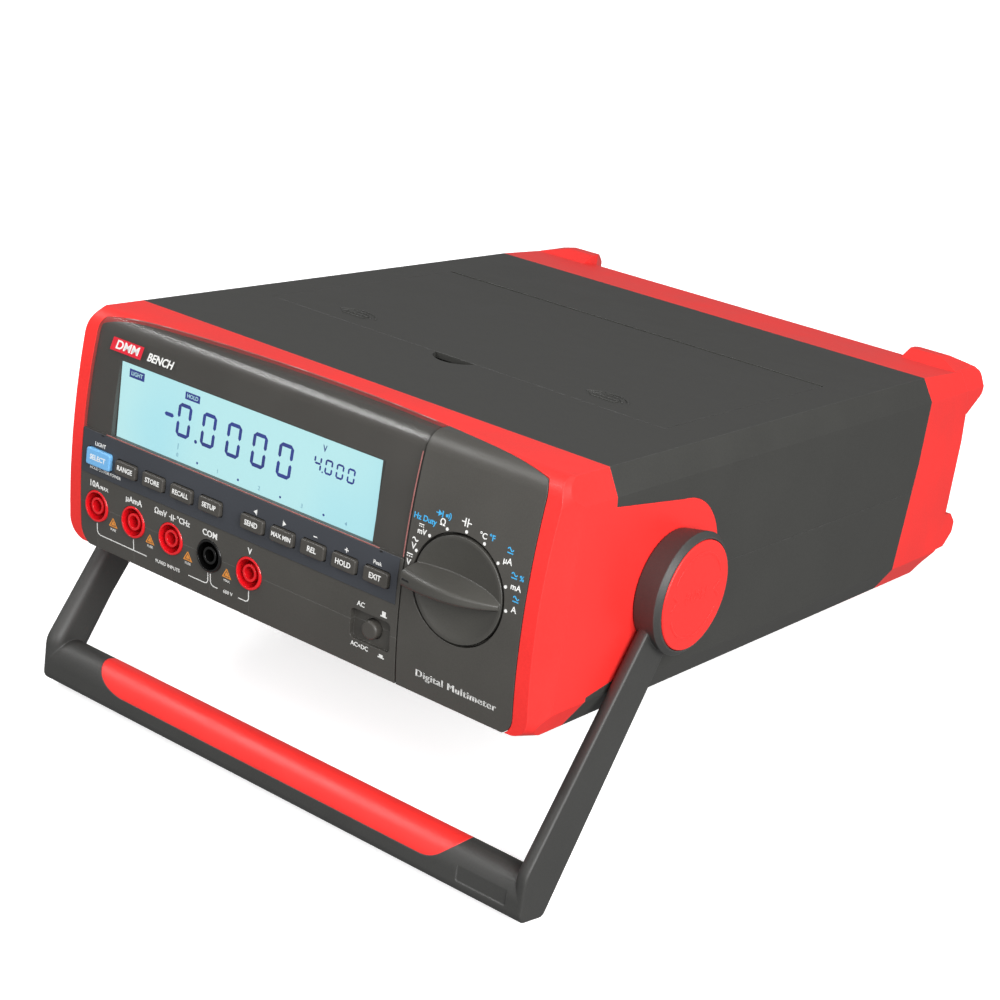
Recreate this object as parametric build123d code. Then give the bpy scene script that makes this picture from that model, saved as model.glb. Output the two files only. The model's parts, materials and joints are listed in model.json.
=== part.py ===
from build123d import *
import os
from math import asin, atan2, degrees, hypot, sqrt

# Bench multimeter standing on its swung-down carrying handle.
#
# The whole instrument is drawn level: X to the right as the user faces it, Y from the
# front panel towards the rear, Z up, with the origin under the middle of the front panel.
# The last section tips it back about X onto the handle bar and the two rear feet, which is
# how it stands on a bench, and puts the origin at the middle of its footprint. Millimetres.

os.makedirs("parts", exist_ok=True)

# --- Case ---------------------------------------------------------------------------------
HALF_W = 120.0            # flat side faces
CASE_H = 96.5             # top face
TOP_HALF_W = 115.8        # where the top face meets its side bevel
TOP_BEVEL_Z = 86.3        # where that bevel meets the side face
BOTTOM_HALF_W = 116.0
BOTTOM_BEVEL_Z = 9.0
SPLIT_Z = 45.0            # joint between the lower and the upper shell
WALL = 2.5
GAP = 0.1                 # each moulding stops this far short of its neighbour
FRONT_SEAM_Y = 27.2       # front bezel meets the shells on the top face
REAR_SEAM_Y = 267.3       # shells meet the rear bezel on the top face

# --- Front --------------------------------------------------------------------------------
BULGE = 4.0               # how far the middle of the front stands out
BULGE_Z = 46.0            # height of that middle
BULGE_R = (BULGE_Z ** 2 + BULGE ** 2) / (2 * BULGE)
ROLL_R = 8.0              # front edge rolled into the top
PANEL_HALF = 110.7        # dark front panel inside the bezel
PANEL_T = 3.5
PANEL_SEAM = 0.35         # open seam around the panel
PANEL_TOP_Y = 14.6        # rear edge of the panel's roll-over, at the middle
PANEL_TOP_END_Y = 1.5     # the same edge at the panel's ends
SEAM_X = 57.0             # input panel on the left, range panel on the right
SEAM_W = 0.7
LENS_T = 1.5
LENS_Z = 49.2             # lower edge of the display lens

# --- Display ------------------------------------------------------------------------------
LCD_X0, LCD_X1 = -95.6, 38.4
LCD_Z0, LCD_Z1 = 49.2, 79.2
LCD_Y = 0.0               # front of the liquid crystal glass
LCD_T = 2.8
WINDOW_EXTRA = 2.4        # window in the panel is wider than the viewed area
BOARD_T = 1.6
DISPLAY_BOARD_Y = 10.0

# --- Keys and jacks -----------------------------------------------------------------------
KEY_Z = 39.0
KEY_W, KEY_H = 11.5, 5.7
SELECT_W, SELECT_H = 13.5, 7.0
KEY_PROUD = 1.8
LEFT_KEYS = ("select", "range", "store", "recall", "setup")
RIGHT_KEYS = ("send", "maxmin", "rel", "hold", "exit")
LEFT_KEY_X, LEFT_KEY_PITCH = -99.7, 15.55
RIGHT_KEY_X, RIGHT_KEY_PITCH = -15.2, 15.4
OVERLAY_Z0, OVERLAY_Z1 = 31.2, 49.1
OVERLAY_T = 0.3
JACKS = ("jack_10a", "jack_ma", "jack_ohm", "jack_com", "jack_volt")
JACK_X, JACK_PITCH, JACK_Z = -101.2, 21.2, 18.3
JACK_R = 6.6
JACK_BACK_Y = 21.0
JACK_ROW_TOP = 27.0      # the input panel's parts around the jacks reach up to here
SLEEVE_R = 2.0            # bore for a 4 mm test plug
SLEEVE_OUTER_R = 2.45
SLEEVE_Y = 6.0            # the brass starts this far behind the front
ACDC_X, ACDC_Z = 44.6, 17.0
ACDC_R = 3.6
ACDC_POCKET = 2.5         # depth of the field that the button stands in

# --- Range knob ---------------------------------------------------------------------------
KNOB_X, KNOB_Z = 81.9, 45.8
KNOB_R = 19.5
RIDGE = (                 # offset along X, front Y, half height of the face, half height of the base
    (-19.2, -12.0, 3.1, 5.2),
    (-6.0, -13.6, 2.6, 5.4),
    (8.0, -11.5, 1.7, 4.8),
    (18.8, -5.0, 0.7, 3.6),
)
KNOB_SHAFT_R = 4.0
ROTOR_R = 17.0
SWITCH_BOARD_Y = 14.5

# --- Storage compartment ------------------------------------------------------------------
LID_HALF = 99.6
LID_Y0, LID_Y1 = 86.0, 206.7
LID_T = 2.5
HINGE_R = 2.0             # rounded rear edge of the lid, about its own pin
HINGE_Y = LID_Y1 - HINGE_R
HINGE_Z = CASE_H - HINGE_R
HINGE_PIN_R = 0.9
TRAY_FLOOR_Z = 54.0
TRAY_WALL = 2.0
TRAY_CORNER_R = 1.0

# --- Handle -------------------------------------------------------------------------------
PIVOT_Y, PIVOT_Z = 72.5, 44.5
HUB_SHAPE = ((120.4, 22.0), (130.4, 23.9), (132.2, 21.9))   # X and radius, from the case outwards
CAP_R = 21.2
POST_R = 12.0
ARM_X0, ARM_X1 = 120.8, 127.2
ARM_SKIN_X = 125.9        # the inner front edge of an arm is rounded up to here
ARM_EDGE_R = 1.0
ARM_INNER_R = 5.0
ARM_KNEE_R = 9.0          # bend between an arm's front and the bar's
BAR = ((-1.0, -48.5), (-1.0, -67.0), (13.7, -69.2), (13.2, -50.6))  # section, front top first
BAR_INSIDE_Y = 11.0
BAR_TOP_R = 9.0           # rounding of the bar's upper front edge
BAR_BACK_R = 3.0          # rounding of its upper rear edge
BAR_LOW_R = 4.0           # rounding of its lower front edge
BAR_FOOT_R = 3.0          # rounding of the bar's lower rear edge, which stands on the bench
GRIP_T = 1.6
GRIP_LOW_Z = -59.0        # lower edge of the grip on the bar's front
PLATE = (97.0, 119.8, -62.5, -54.0)      # sunk field on the bar's front: x0, x1, z0, z1
LOBE_Y, LOBE_Z = PIVOT_Y + 2.5, PIVOT_Z + 3.0
LOBE_R = 29.8             # round end of the bezel's side tongue

# --- Rear and feet ------------------------------------------------------------------------
REAR_Y = 312.0
REAR_PANEL_Y = 306.0
REAR_DROP = 1.6           # the rear bezel's top slopes down to its rear edge
EAR_X0, EAR_X1 = 89.0, 119.9
FOOT_R, FOOT_H = 8.0, 4.0
FOOT_X = 95.0
FOOT_Y = (34.0, 288.0)
PORT_Z = 46.0             # height of the whole row of connectors
INLET_X, ROCKER_X, SERIAL_X, USB_X = -62.0, -24.0, 22.0, 66.0
ROCKER_HALF_W = 6.4

# --- Inside the case ----------------------------------------------------------------------
SCREW_X = 108.5
SCREW_Y = (120.0, 240.0)
BOSS_R = 5.0
STANDOFF_X = 96.0
STANDOFF_Y = (30.0, 140.0)
BOARD_Z = 8.0
BATTERY = (-102.0, 22.0, 158.0, 206.0)   # opening in the floor: x0, x1, y0, y1
FUSE_X = (-84.0, -62.0)
FUSE_Y0, FUSE_Y1 = 50.0, 82.0
FUSE_R = 3.2
FUSE_Z = BOARD_Z + BOARD_T + 6.0


# ==========================================================================================
# Shape helpers
# ==========================================================================================
def block(x0, x1, y0, y1, z0, z1):
    """Box between two corners."""
    size = (x1 - x0, y1 - y0, z1 - z0)
    return Pos((x0 + x1) / 2, (y0 + y1) / 2, (z0 + z1) / 2) * Box(*size)


def rod_x(x0, x1, y, z, r):
    """Cylinder along X."""
    return Pos((x0 + x1) / 2, y, z) * Rot(0, 90, 0) * Cylinder(r, x1 - x0)


def rod_y(x, y0, y1, z, r):
    """Cylinder along Y."""
    return Pos(x, (y0 + y1) / 2, z) * Rot(90, 0, 0) * Cylinder(r, y1 - y0)


def cone_x(x0, r0, x1, r1, y, z):
    """Round taper along X."""
    return Pos((x0 + x1) / 2, y, z) * Rot(0, 90, 0) * Cone(r0, r1, x1 - x0)


def rod_z(x, y, z0, z1, r):
    """Cylinder along Z."""
    return Pos(x, y, (z0 + z1) / 2) * Cylinder(r, z1 - z0)


def slab_x(section, x0, x1):
    """Section drawn in YZ, pushed from x0 to x1."""
    return extrude(Plane.YZ.offset(x0) * section, x1 - x0)


def slab_y(section, y0, y1):
    """Section drawn in XZ, pushed from y0 to y1."""
    return extrude(Plane.XZ.offset(-y1) * section, y1 - y0)


def outline(*points):
    """Closed flat face through straight-sided points."""
    return make_face(Polyline(*points, close=True))


def both_sides(solid):
    """A solid and its mirror image across the middle of the instrument."""
    return solid + mirror(solid, Plane.YZ)


def rounded(x0, x1, z0, z1, r):
    """Rectangle with equal corner radii, in the sketch plane."""
    return Pos((x0 + x1) / 2, (z0 + z1) / 2) * RectangleRounded(x1 - x0, z1 - z0, r)


def front_y(z):
    """Depth of the bulged front surface at a height."""
    return BULGE_R - BULGE - sqrt(BULGE_R ** 2 - (z - BULGE_Z) ** 2)


# ==========================================================================================
# Shared sections
# ==========================================================================================
def case_outline(inset=0.0):
    """Eight-sided section of the case, drawn in XZ."""
    right = [
        (BOTTOM_HALF_W, 0),
        (HALF_W, BOTTOM_BEVEL_Z),
        (HALF_W, TOP_BEVEL_Z),
        (TOP_HALF_W, CASE_H),
    ]
    left = [(-x, z) for x, z in reversed(right)]
    face = outline(*right, *left)
    if inset:
        face = offset(face, -inset, kind=Kind.INTERSECTION)
    return face


def front_section(inset=0.0):
    """Bulged front rolled into the top, drawn in YZ."""
    top_y = front_y(CASE_H)
    bulge = ThreePointArc((0, 0), (-BULGE, BULGE_Z), (top_y, CASE_H))
    back = Polyline((top_y, CASE_H), (40, CASE_H), (40, 0), (0, 0))
    face = make_face([bulge, back])
    top_front = face.vertices().filter_by(lambda v: v.Z > 90 or v.Y > 90).sort_by(Axis.X)[0]
    face = fillet(top_front, ROLL_R)
    if inset:
        face = offset(face, -inset, kind=Kind.INTERSECTION)
    return face


def corner_outline(half, low, top, top_r, low_r):
    """Front view of the bezel with round corners, drawn in XZ."""
    face = outline((-half, low), (half, low), (half, top), (-half, top))
    face = fillet(face.vertices().sort_by(Axis.Y)[2:], top_r)
    return fillet(face.vertices().sort_by(Axis.Y)[:2], low_r)


def front_form():
    """Solid shape of the front end, before anything is cut from it."""
    small = corner_outline(116.4, 0.8, CASE_H + 0.5, 14, 10)
    large = corner_outline(120.6, -0.4, CASE_H + 1, 5, 5)
    taper = loft([Plane.XZ.offset(6) * small, Plane.XZ.offset(-12) * large])
    taper += slab_y(large, 12, 40)
    return slab_y(case_outline(), -6, 40) & slab_x(front_section(), -HALF_W, HALF_W) & taper


def front_region():
    """Side view of what belongs to the front bezel, drawn in YZ."""
    return outline((-10, -2), (21.5, -2), (29.5, 9), (29.5, 82.9), (FRONT_SEAM_Y, CASE_H),
                   (FRONT_SEAM_Y, CASE_H + 2), (-10, CASE_H + 2))


def lobe_region():
    """Tongue of the bezel that runs back around the handle pivot, drawn in YZ."""
    tongue = outline((20, 83.6), (LOBE_Y, LOBE_Z + LOBE_R), (LOBE_Y, LOBE_Z - LOBE_R), (20, 9))
    return tongue + Pos(LOBE_Y, LOBE_Z) * Circle(LOBE_R)


def rear_region():
    """Side view of what belongs to the rear bezel, drawn in YZ."""
    return outline((REAR_SEAM_Y, CASE_H + 6), (REAR_SEAM_Y, CASE_H), (271, TOP_BEVEL_Z), (271, 58),
                   (266.5, 9), (259, -2), (340, -2), (340, CASE_H + 6))


def panel_zone(thick, margin=0.0):
    """Space of the dark front panel: a skin of the front, ending along an arc on the top."""
    half = PANEL_HALF + margin
    skin = slab_x(front_section() - front_section(thick), -half, half)
    view = outline((-half, -1), (half, -1), (half, CASE_H + 1), (-half, CASE_H + 1))
    view = fillet(view.vertices().sort_by(Axis.Y)[2:], 9)
    view = fillet(view.vertices().sort_by(Axis.Y)[:2], 8)
    sag = PANEL_TOP_Y - PANEL_TOP_END_Y
    arc_r = (PANEL_HALF ** 2 + sag ** 2) / (2 * sag)
    over_top = rod_z(0, PANEL_TOP_Y - arc_r, 86, CASE_H + 1, arc_r + margin)
    upright = block(-half, half, -10, 3.6 + margin, -1, 86)
    return skin & slab_y(view, -10, 40) & (over_top + upright)


# ==========================================================================================
# Case mouldings
# ==========================================================================================
def case_tube():
    """Hollow middle of the case between the two bezels."""
    tube = slab_y(case_outline() - case_outline(WALL), 15, 275)
    front = slab_x(offset(front_region(), GAP), -HALF_W - 1, HALF_W + 1)
    lobes = slab_x(offset(lobe_region(), GAP), HALF_W - WALL - GAP, HALF_W + 1)
    rear = slab_x(offset(rear_region(), GAP), -HALF_W - 1, HALF_W + 1)
    return tube - front - both_sides(lobes) - rear


def bottom_shell():
    shell = case_tube() & block(-130, 130, 0, 300, -1, SPLIT_Z - GAP / 2)
    for x in (-SCREW_X, SCREW_X):
        for y in SCREW_Y:
            shell += rod_z(x, y, WALL - 1, SPLIT_Z - GAP / 2, BOSS_R)
            shell -= rod_z(x, y, -1, SPLIT_Z, 1.9)
            shell -= rod_z(x, y, -1, 8, 3.6)
    for x in (-STANDOFF_X, STANDOFF_X):
        for y in STANDOFF_Y:
            shell += rod_z(x, y, WALL - 1, BOARD_Z - GAP / 2, 3.5)
            shell -= rod_z(x, y, WALL, BOARD_Z, 1.3)
    for y in (152.0, 210.0):
        shell += block(-100, 100, y, y + 2, WALL - 1, 14)
    x0, x1, y0, y1 = BATTERY
    return shell - block(x0, x1, y0, y1, -1, WALL + 1)


def top_shell():
    shell = case_tube() & block(-130, 130, 0, 300, SPLIT_Z + GAP / 2, CASE_H + 1)
    for x in (-SCREW_X, SCREW_X):
        for y in SCREW_Y:
            shell += rod_z(x, y, SPLIT_Z + GAP / 2, CASE_H - WALL + 1, BOSS_R)
            shell -= rod_z(x, y, SPLIT_Z - 1, 62, 1.8)
    shell -= block(-LID_HALF - 0.3, LID_HALF + 0.3, LID_Y0 - 0.3, LID_Y1 + 0.3, 90, CASE_H + 1)
    shell -= rod_z(0, LID_Y0 + 1, 90, CASE_H + 1, 10)
    return shell - rod_x(-LID_HALF - 2.5, LID_HALF + 2.5, HINGE_Y, HINGE_Z, HINGE_PIN_R + 0.3)


def front_bezel():
    bezel = front_form() & slab_x(front_region(), -HALF_W, HALF_W)
    lobe = slab_x(lobe_region(), HALF_W - WALL, HALF_W) - block(0, 130, -10, 24, -5, 100)
    bezel -= panel_zone(PANEL_T + GAP, PANEL_SEAM)
    bezel -= slab_y(rounded(-108.5, 108.5, 4.5, 90.5, 6), -10, 8)
    bezel -= slab_y(case_outline(WALL + 1), 7, 18) & block(-HALF_W, HALF_W, 7, 18, 0, 90.5)
    bezel -= slab_y(case_outline(WALL), 18, 40)
    bezel += both_sides(lobe)
    return bezel - rod_x(-130, 130, PIVOT_Y, PIVOT_Z, POST_R + GAP)


def ear(points, r):
    """Standing lug at one rear corner, from its YZ outline, with a round inner rear edge."""
    face = outline(*points)
    lug = slab_x(fillet(face.vertices(), r), EAR_X0, EAR_X1)
    plan = outline((EAR_X0, 280), (EAR_X1, 280), (EAR_X1, 330), (EAR_X0 + 9, 330), (EAR_X0, 310))
    return lug & extrude(Plane.XY * fillet(plan.vertices().sort_by(Axis.Y)[-2:-1], 3), 120)


def rear_bezel():
    back = outline((250, 0), (296, 0), (300, 4.3), (309.6, 9.7), (REAR_Y, 28), (REAR_Y, 62),
                   (309.9, 78), (303.7, CASE_H - REAR_DROP), (REAR_SEAM_Y, CASE_H), (250, CASE_H))
    upper_ear = ear([(296, 78), (296, 94.5), (306, 98.6), (313, 98.4), (323.8, 92.5),
                     (323.8, 83), (310.5, 74.5)], 3.5)
    lower_ear = ear([(300, 9.4), (317, 10), (323.6, 16), (323.6, 21), (318, 26), (300, 27)], 2.2)
    bezel = slab_y(case_outline(), 250, 320) & slab_x(back, -HALF_W, HALF_W)
    cover = outline((0, 0), (BOTTOM_HALF_W, 0), (HALF_W, BOTTOM_BEVEL_Z), (HALF_W, TOP_BEVEL_Z),
                    (TOP_HALF_W, 95.4), (104, 98.6), (0, 98.6))
    bezel += both_sides((upper_ear + lower_ear) & slab_y(cover, 280, 330))
    bezel = bezel & slab_x(rear_region(), -HALF_W, HALF_W)
    bezel -= slab_y(case_outline(WALL), 250, 290)
    bezel -= block(-HALF_W + WALL, HALF_W - WALL, 289, 303, 6, 90)
    return bezel - slab_y(rounded(-98, 98, 14, 84, 4), 300, 330)


def feet():
    rubber = [rod_z(side * FOOT_X, y, -FOOT_H, 0, FOOT_R) for side in (-1, 1) for y in FOOT_Y]
    return Compound(children=rubber)


# ==========================================================================================
# Front panels and display
# ==========================================================================================
def key_places():
    """Name, X and size of each push key."""
    places = []
    for index, name in enumerate(LEFT_KEYS):
        size = (SELECT_W, SELECT_H) if name == "select" else (KEY_W, KEY_H)
        places.append((name, LEFT_KEY_X + index * LEFT_KEY_PITCH, size))
    for index, name in enumerate(RIGHT_KEYS):
        places.append((name, RIGHT_KEY_X + index * RIGHT_KEY_PITCH, (KEY_W, KEY_H)))
    return places


def key_holes(clearance):
    """Cutting bodies through the panel for the ten keys."""
    holes = []
    for _, x, (width, height) in key_places():
        hole = RectangleRounded(width + 2 * clearance, height + 2 * clearance, 1.2)
        holes.append(slab_y(Pos(x, KEY_Z) * hole, -10, 6))
    return holes


def jack_places():
    return [(name, JACK_X + index * JACK_PITCH) for index, name in enumerate(JACKS)]


def lens_zone(thick):
    """Space of the clear lens: the panel's skin above the keypad, left of the seam."""
    return panel_zone(thick) & block(-130, SEAM_X, -10, 40, LENS_Z, CASE_H + 1)


def window():
    return block(LCD_X0 - 1, LCD_X1 + WINDOW_EXTRA, -10, 6, LCD_Z0, LCD_Z1 + 1)


def input_panel():
    panel = panel_zone(PANEL_T) & block(-130, SEAM_X, -10, 40, -1, CASE_H + 1)
    panel -= lens_zone(LENS_T + 0.02)
    panel -= window()
    for hole in key_holes(0.35):
        panel -= hole
    for _, x in jack_places():
        panel -= rod_y(x, -10, 6, JACK_Z, JACK_R + 0.05)
    pocket = RectangleRounded(19.2, 12.2, 2)
    panel -= slab_y(Pos(ACDC_X, ACDC_Z) * pocket, -10, front_y(ACDC_Z) + ACDC_POCKET)
    return split_at_jacks(panel - rod_y(ACDC_X, -10, 6, ACDC_Z, ACDC_R + 0.3))


def split_at_jacks(panel):
    """One moulding as touching parts that meet on the jacks' axes: no hull closes a jack."""
    edges = [-130, *(x for _, x in jack_places()), SEAM_X]
    parts = [panel & block(-130, SEAM_X, -10, 40, JACK_ROW_TOP, CASE_H + 1)]
    for z0, z1 in ((-1, JACK_Z), (JACK_Z, JACK_ROW_TOP)):
        parts += [panel & block(x0, x1, -10, 40, z0, z1) for x0, x1 in zip(edges, edges[1:])]
    return Compound(children=parts)


def range_panel():
    panel = panel_zone(PANEL_T) & block(SEAM_X + SEAM_W, 130, -10, 40, -1, CASE_H + 1)
    panel += rod_y(KNOB_X, -1.5, 4.5, KNOB_Z, KNOB_R + 3)
    for x in (KNOB_X - 21.5, KNOB_X + 21.5):
        for z in (KNOB_Z - 21.5, KNOB_Z + 21.5):
            panel += rod_y(x, -1.5, SWITCH_BOARD_Y - GAP / 2, z, 2.4)
    panel -= rod_y(KNOB_X, -10, 0.5, KNOB_Z, KNOB_R + 1.1)
    return panel - rod_y(KNOB_X, -10, 6, KNOB_Z, KNOB_SHAFT_R + 0.3)


def keypad_overlay():
    """Printed film on the panel around the keys."""
    film = slab_x(Pos(-OVERLAY_T, 0) * front_section() - front_section(), -110, SEAM_X - 1.5)
    film = film & block(-110, SEAM_X - 1.5, -10, 3, OVERLAY_Z0, OVERLAY_Z1)
    for hole in key_holes(0.35):
        film -= hole
    return film


def display_lens():
    return lens_zone(LENS_T)


def lcd_glass():
    front = block(LCD_X0 - 0.5, LCD_X1 + 0.5, LCD_Y, LCD_Y + LCD_T / 2, LCD_Z0 - 0.5, LCD_Z1 + 0.5)
    rear = block(LCD_X0 - 0.5, LCD_X1 + 0.5, LCD_Y + LCD_T / 2, LCD_Y + LCD_T, LCD_Z0 - 3,
                 LCD_Z1 + 0.5)
    return front + rear


def lcd_frame():
    frame = block(LCD_X0 - 4, LCD_X1 + 4, 2.4, 7, LCD_Z0 - 5, LCD_Z1 + 3.5)
    lip = block(LCD_X0 - 0.9, LCD_X1 + 2.2, 0.1, 2.5, LCD_Z0 + 0.1, LCD_Z1 + 0.9)
    glass = block(LCD_X0 - 0.6, LCD_X1 + 0.6, -1, 8, LCD_Z0 - 3.1, LCD_Z1 + 0.6)
    return frame + lip - glass


def backlight():
    return block(LCD_X0 - 0.5, LCD_X1 + 0.5, LCD_Y + LCD_T + 0.1, 7, LCD_Z0 - 3, LCD_Z1 + 0.5)


def display_board():
    y = DISPLAY_BOARD_Y
    board = block(-106, 54, y, y + BOARD_T, 30, 88)
    drivers = block(-70, -40, y + BOARD_T, y + BOARD_T + 3, 56, 72)
    drivers += block(-10, 10, y + BOARD_T, y + BOARD_T + 3, 56, 72)
    for x in (LCD_X0 - 2, LCD_X1 + 2):
        for z in (LCD_Z0 - 3, LCD_Z1 + 2):
            board += rod_y(x, 7.1, y, z, 2)
    return board + drivers


def push_key(x, width, height):
    """Key cap with a flange behind the panel."""
    face_y = front_y(KEY_Z) - KEY_PROUD
    cap = slab_y(Pos(x, KEY_Z) * RectangleRounded(width, height, 1.0), face_y, 5.0)
    cap = fillet(cap.edges().group_by(Axis.Y)[0], 0.5)
    flange = block(x - width / 2 - 0.5, x + width / 2 + 0.5, 3.2, 5.2,
                   KEY_Z - height / 2 - 1, KEY_Z + height / 2 + 1)
    return cap + flange


def key_mat():
    """Rubber sheet with one dome under each key."""
    mat = block(-108, 53, DISPLAY_BOARD_Y - 1.6, DISPLAY_BOARD_Y - GAP / 2, 33.4, 42.6)
    for _, x, _ in key_places():
        mat += rod_y(x, DISPLAY_BOARD_Y - 3.2, DISPLAY_BOARD_Y - 1.5, KEY_Z, 2.4)
    return mat


def jack(x):
    """Shrouded test jack: outer ring, deep groove and inner tube around the brass sleeve."""
    face_y = front_y(JACK_Z) - 0.6
    body = rod_y(x, face_y, JACK_BACK_Y, JACK_Z, JACK_R)
    body = fillet(body.edges().group_by(Axis.Y)[0], 0.6)
    groove = rod_y(x, face_y - 1, 9, JACK_Z, 5.6) - rod_y(x, face_y - 2, 10, JACK_Z, 3.45)
    inner_face = rod_y(x, face_y - 1, face_y + 0.8, JACK_Z, 5.6)
    seat = rod_y(x, -10, JACK_BACK_Y + 1, JACK_Z, SLEEVE_OUTER_R + 0.05)
    return body - groove - inner_face - seat


def jack_sleeves():
    """Brass contacts inside the jacks, with solder tails down to the main board."""
    sleeves = []
    for _, x in jack_places():
        sleeve = rod_y(x, SLEEVE_Y, JACK_BACK_Y + 3, JACK_Z, SLEEVE_OUTER_R)
        sleeve -= rod_y(x, SLEEVE_Y - 1, 18, JACK_Z, SLEEVE_R)
        tail = block(x - 1, x + 1, JACK_BACK_Y + 0.5, JACK_BACK_Y + 2.5, BOARD_Z + BOARD_T, JACK_Z)
        sleeves.append(sleeve + tail)
    return Compound(children=sleeves)


def acdc_button():
    face_y = front_y(ACDC_Z) - 0.8
    button = rod_y(ACDC_X, face_y, 7.0, ACDC_Z, ACDC_R)
    button = fillet(button.edges().group_by(Axis.Y)[0], 1.0)
    return button + rod_y(ACDC_X, 3.2, 4.6, ACDC_Z, ACDC_R + 1)


def acdc_switch():
    case = block(ACDC_X - 6, ACDC_X + 6, 11.5, 24, BOARD_Z + BOARD_T, ACDC_Z + 7)
    plunger = block(ACDC_X - 2, ACDC_X + 2, 10.4, 11.5, ACDC_Z - 2, ACDC_Z + 2)
    return case + plunger


# ==========================================================================================
# Range switch
# ==========================================================================================
def ridge_section(dx, front_y, face_half, base_half):
    """Section across the knob's ridge, with its front corners rounded."""
    face = outline((0.1, -base_half), (front_y, -face_half), (front_y, face_half), (0.1, base_half))
    face = fillet(face.vertices().sort_by(Axis.X)[:2], 0.75 * face_half)
    return Plane.YZ.offset(KNOB_X + dx) * (Pos(0, KNOB_Z) * face)


def range_knob():
    rim_y = -3.9
    dish_depth = 2.2
    dish_rim = KNOB_R - 1.2
    dish_r = (dish_rim ** 2 + dish_depth ** 2) / (2 * dish_depth)
    skirt = rod_y(KNOB_X, rim_y, 0.2, KNOB_Z, KNOB_R)
    skirt -= Pos(KNOB_X, rim_y + dish_depth - dish_r, KNOB_Z) * Sphere(dish_r)
    ridge = loft([ridge_section(*values) for values in RIDGE])
    ridge = ridge & rod_y(KNOB_X, -20, 1, KNOB_Z, KNOB_R - 0.3)
    return skirt + ridge + rod_y(KNOB_X, 0, 13.8, KNOB_Z, KNOB_SHAFT_R)


def knob_rotor():
    rotor = rod_y(KNOB_X, 9, 12, KNOB_Z, ROTOR_R) + rod_y(KNOB_X, 6.2, 9, KNOB_Z, 7)
    return rotor - rod_y(KNOB_X, 5, 13, KNOB_Z, KNOB_SHAFT_R + 0.03)


def detent_spring():
    """Leaf spring that lies around the rotor's upper edge, with its foot on the board."""
    ring = Circle(ROTOR_R + 1.6) - Circle(ROTOR_R + 0.8)
    upper = ring & (Pos(0, 15) * Rectangle(30, 20))
    leaf = slab_y(Pos(KNOB_X, KNOB_Z) * upper, 9.5, 11.5)
    foot_z = KNOB_Z + ROTOR_R + 1.2
    return leaf + block(KNOB_X - 3, KNOB_X + 3, 9.5, SWITCH_BOARD_Y - GAP / 2, foot_z, foot_z + 2)


def switch_board():
    y = SWITCH_BOARD_Y
    board = block(KNOB_X - 25.4, KNOB_X + 25.4, y, y + BOARD_T, KNOB_Z - 25, KNOB_Z + 25)
    return board - rod_y(KNOB_X, y - 1, y + 3, KNOB_Z, 5)


# ==========================================================================================
# Electronics inside the case
# ==========================================================================================
def main_board():
    top = BOARD_Z + BOARD_T
    board = block(-103, 103, 12, 150, BOARD_Z, top)
    components = ((-30, 60, 7, 7, 4), (0, 90, 11, 11, 4), (50, 60, 8, 5, 12), (70, 110, 9, 9, 16))
    for x, y, half_width, half_depth, height in components:
        board += block(x - half_width, x + half_width, y - half_depth, y + half_depth, top, top + height)
    for x in (-20, -5, 10):
        board += rod_z(x, 125, top, top + 14, 5)
    for x in (-STANDOFF_X, STANDOFF_X):
        for y in STANDOFF_Y:
            board -= rod_z(x, y, BOARD_Z - 1, top + 1, 1.7)
    return board


def fuses():
    tubes = [rod_y(x, FUSE_Y0, FUSE_Y1, FUSE_Z, FUSE_R) for x in FUSE_X]
    return Compound(children=tubes)


def fuse_clips():
    clips = []
    for x in FUSE_X:
        for y in (FUSE_Y0 + 3, FUSE_Y1 - 7):
            clip = block(x - 4.2, x + 4.2, y, y + 4, BOARD_Z + BOARD_T, FUSE_Z + 2.2)
            clips.append(clip - rod_y(x, y - 1, y + 5, FUSE_Z, FUSE_R + 0.03))
    return Compound(children=clips)


def transformer():
    """Laminated core on the case floor, with its winding."""
    core = block(28, 88, 218, 254, WALL, 52)
    windows = block(38, 50, 200, 270, 12, 42) + block(66, 78, 200, 270, 12, 42)
    winding = block(39, 77, 212, 260, 13, 41) - block(49.9, 66.1, 200, 270, 0, 60)
    winding -= block(38.9, 49.9, 217.9, 254.1, 0, 12.9)
    return Compound(children=[core - windows, winding & block(39, 49.8, 212, 260, 13, 41),
                              winding & block(66.2, 77, 212, 260, 13, 41)])


def battery_pack():
    """Open holder above the battery door, with six round cells."""
    x0, x1, y0, y1 = BATTERY
    holder = block(x0 - 1, x1 + 1, y0 - 1, y1 + 1, WALL + 0.05, 34)
    cell_r = 9.4
    for row in (0, 1):
        y = y0 + 13 + 22 * row
        holder -= rod_x(x0 + 2, x1 - 2, y, 17, cell_r + 0.6)
        holder -= block(x0 + 2, x1 - 2, y - cell_r - 0.6, y + cell_r + 0.6, 0, 17)
    cells = []
    length = (x1 - x0 - 6) / 3
    for row in (0, 1):
        for index in range(3):
            start = x0 + 3 + index * length
            cells.append(rod_x(start + 0.1, start + length - 0.1, y0 + 13 + 22 * row, 17, cell_r))
    return Compound(children=[holder, *cells])


def battery_door():
    x0, x1, y0, y1 = BATTERY
    door = block(x0 + 0.3, x1 - 0.3, y0 + 0.3, y1 - 0.3, 0, WALL)
    for x in (x0 + 20, x1 - 20):
        door -= block(x - 6, x + 6, y0 + 4, y0 + 8, -1, 1)
    return door


def case_screws():
    screws = []
    for x in (-SCREW_X, SCREW_X):
        for y in SCREW_Y:
            screw = rod_z(x, y, 5.6, 8, 3.3) + rod_z(x, y, 7, 60, 1.75)
            screws.append(screw - block(x - 2.2, x + 2.2, y - 0.4, y + 0.4, 5, 6.6))
    return Compound(children=screws)


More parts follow.
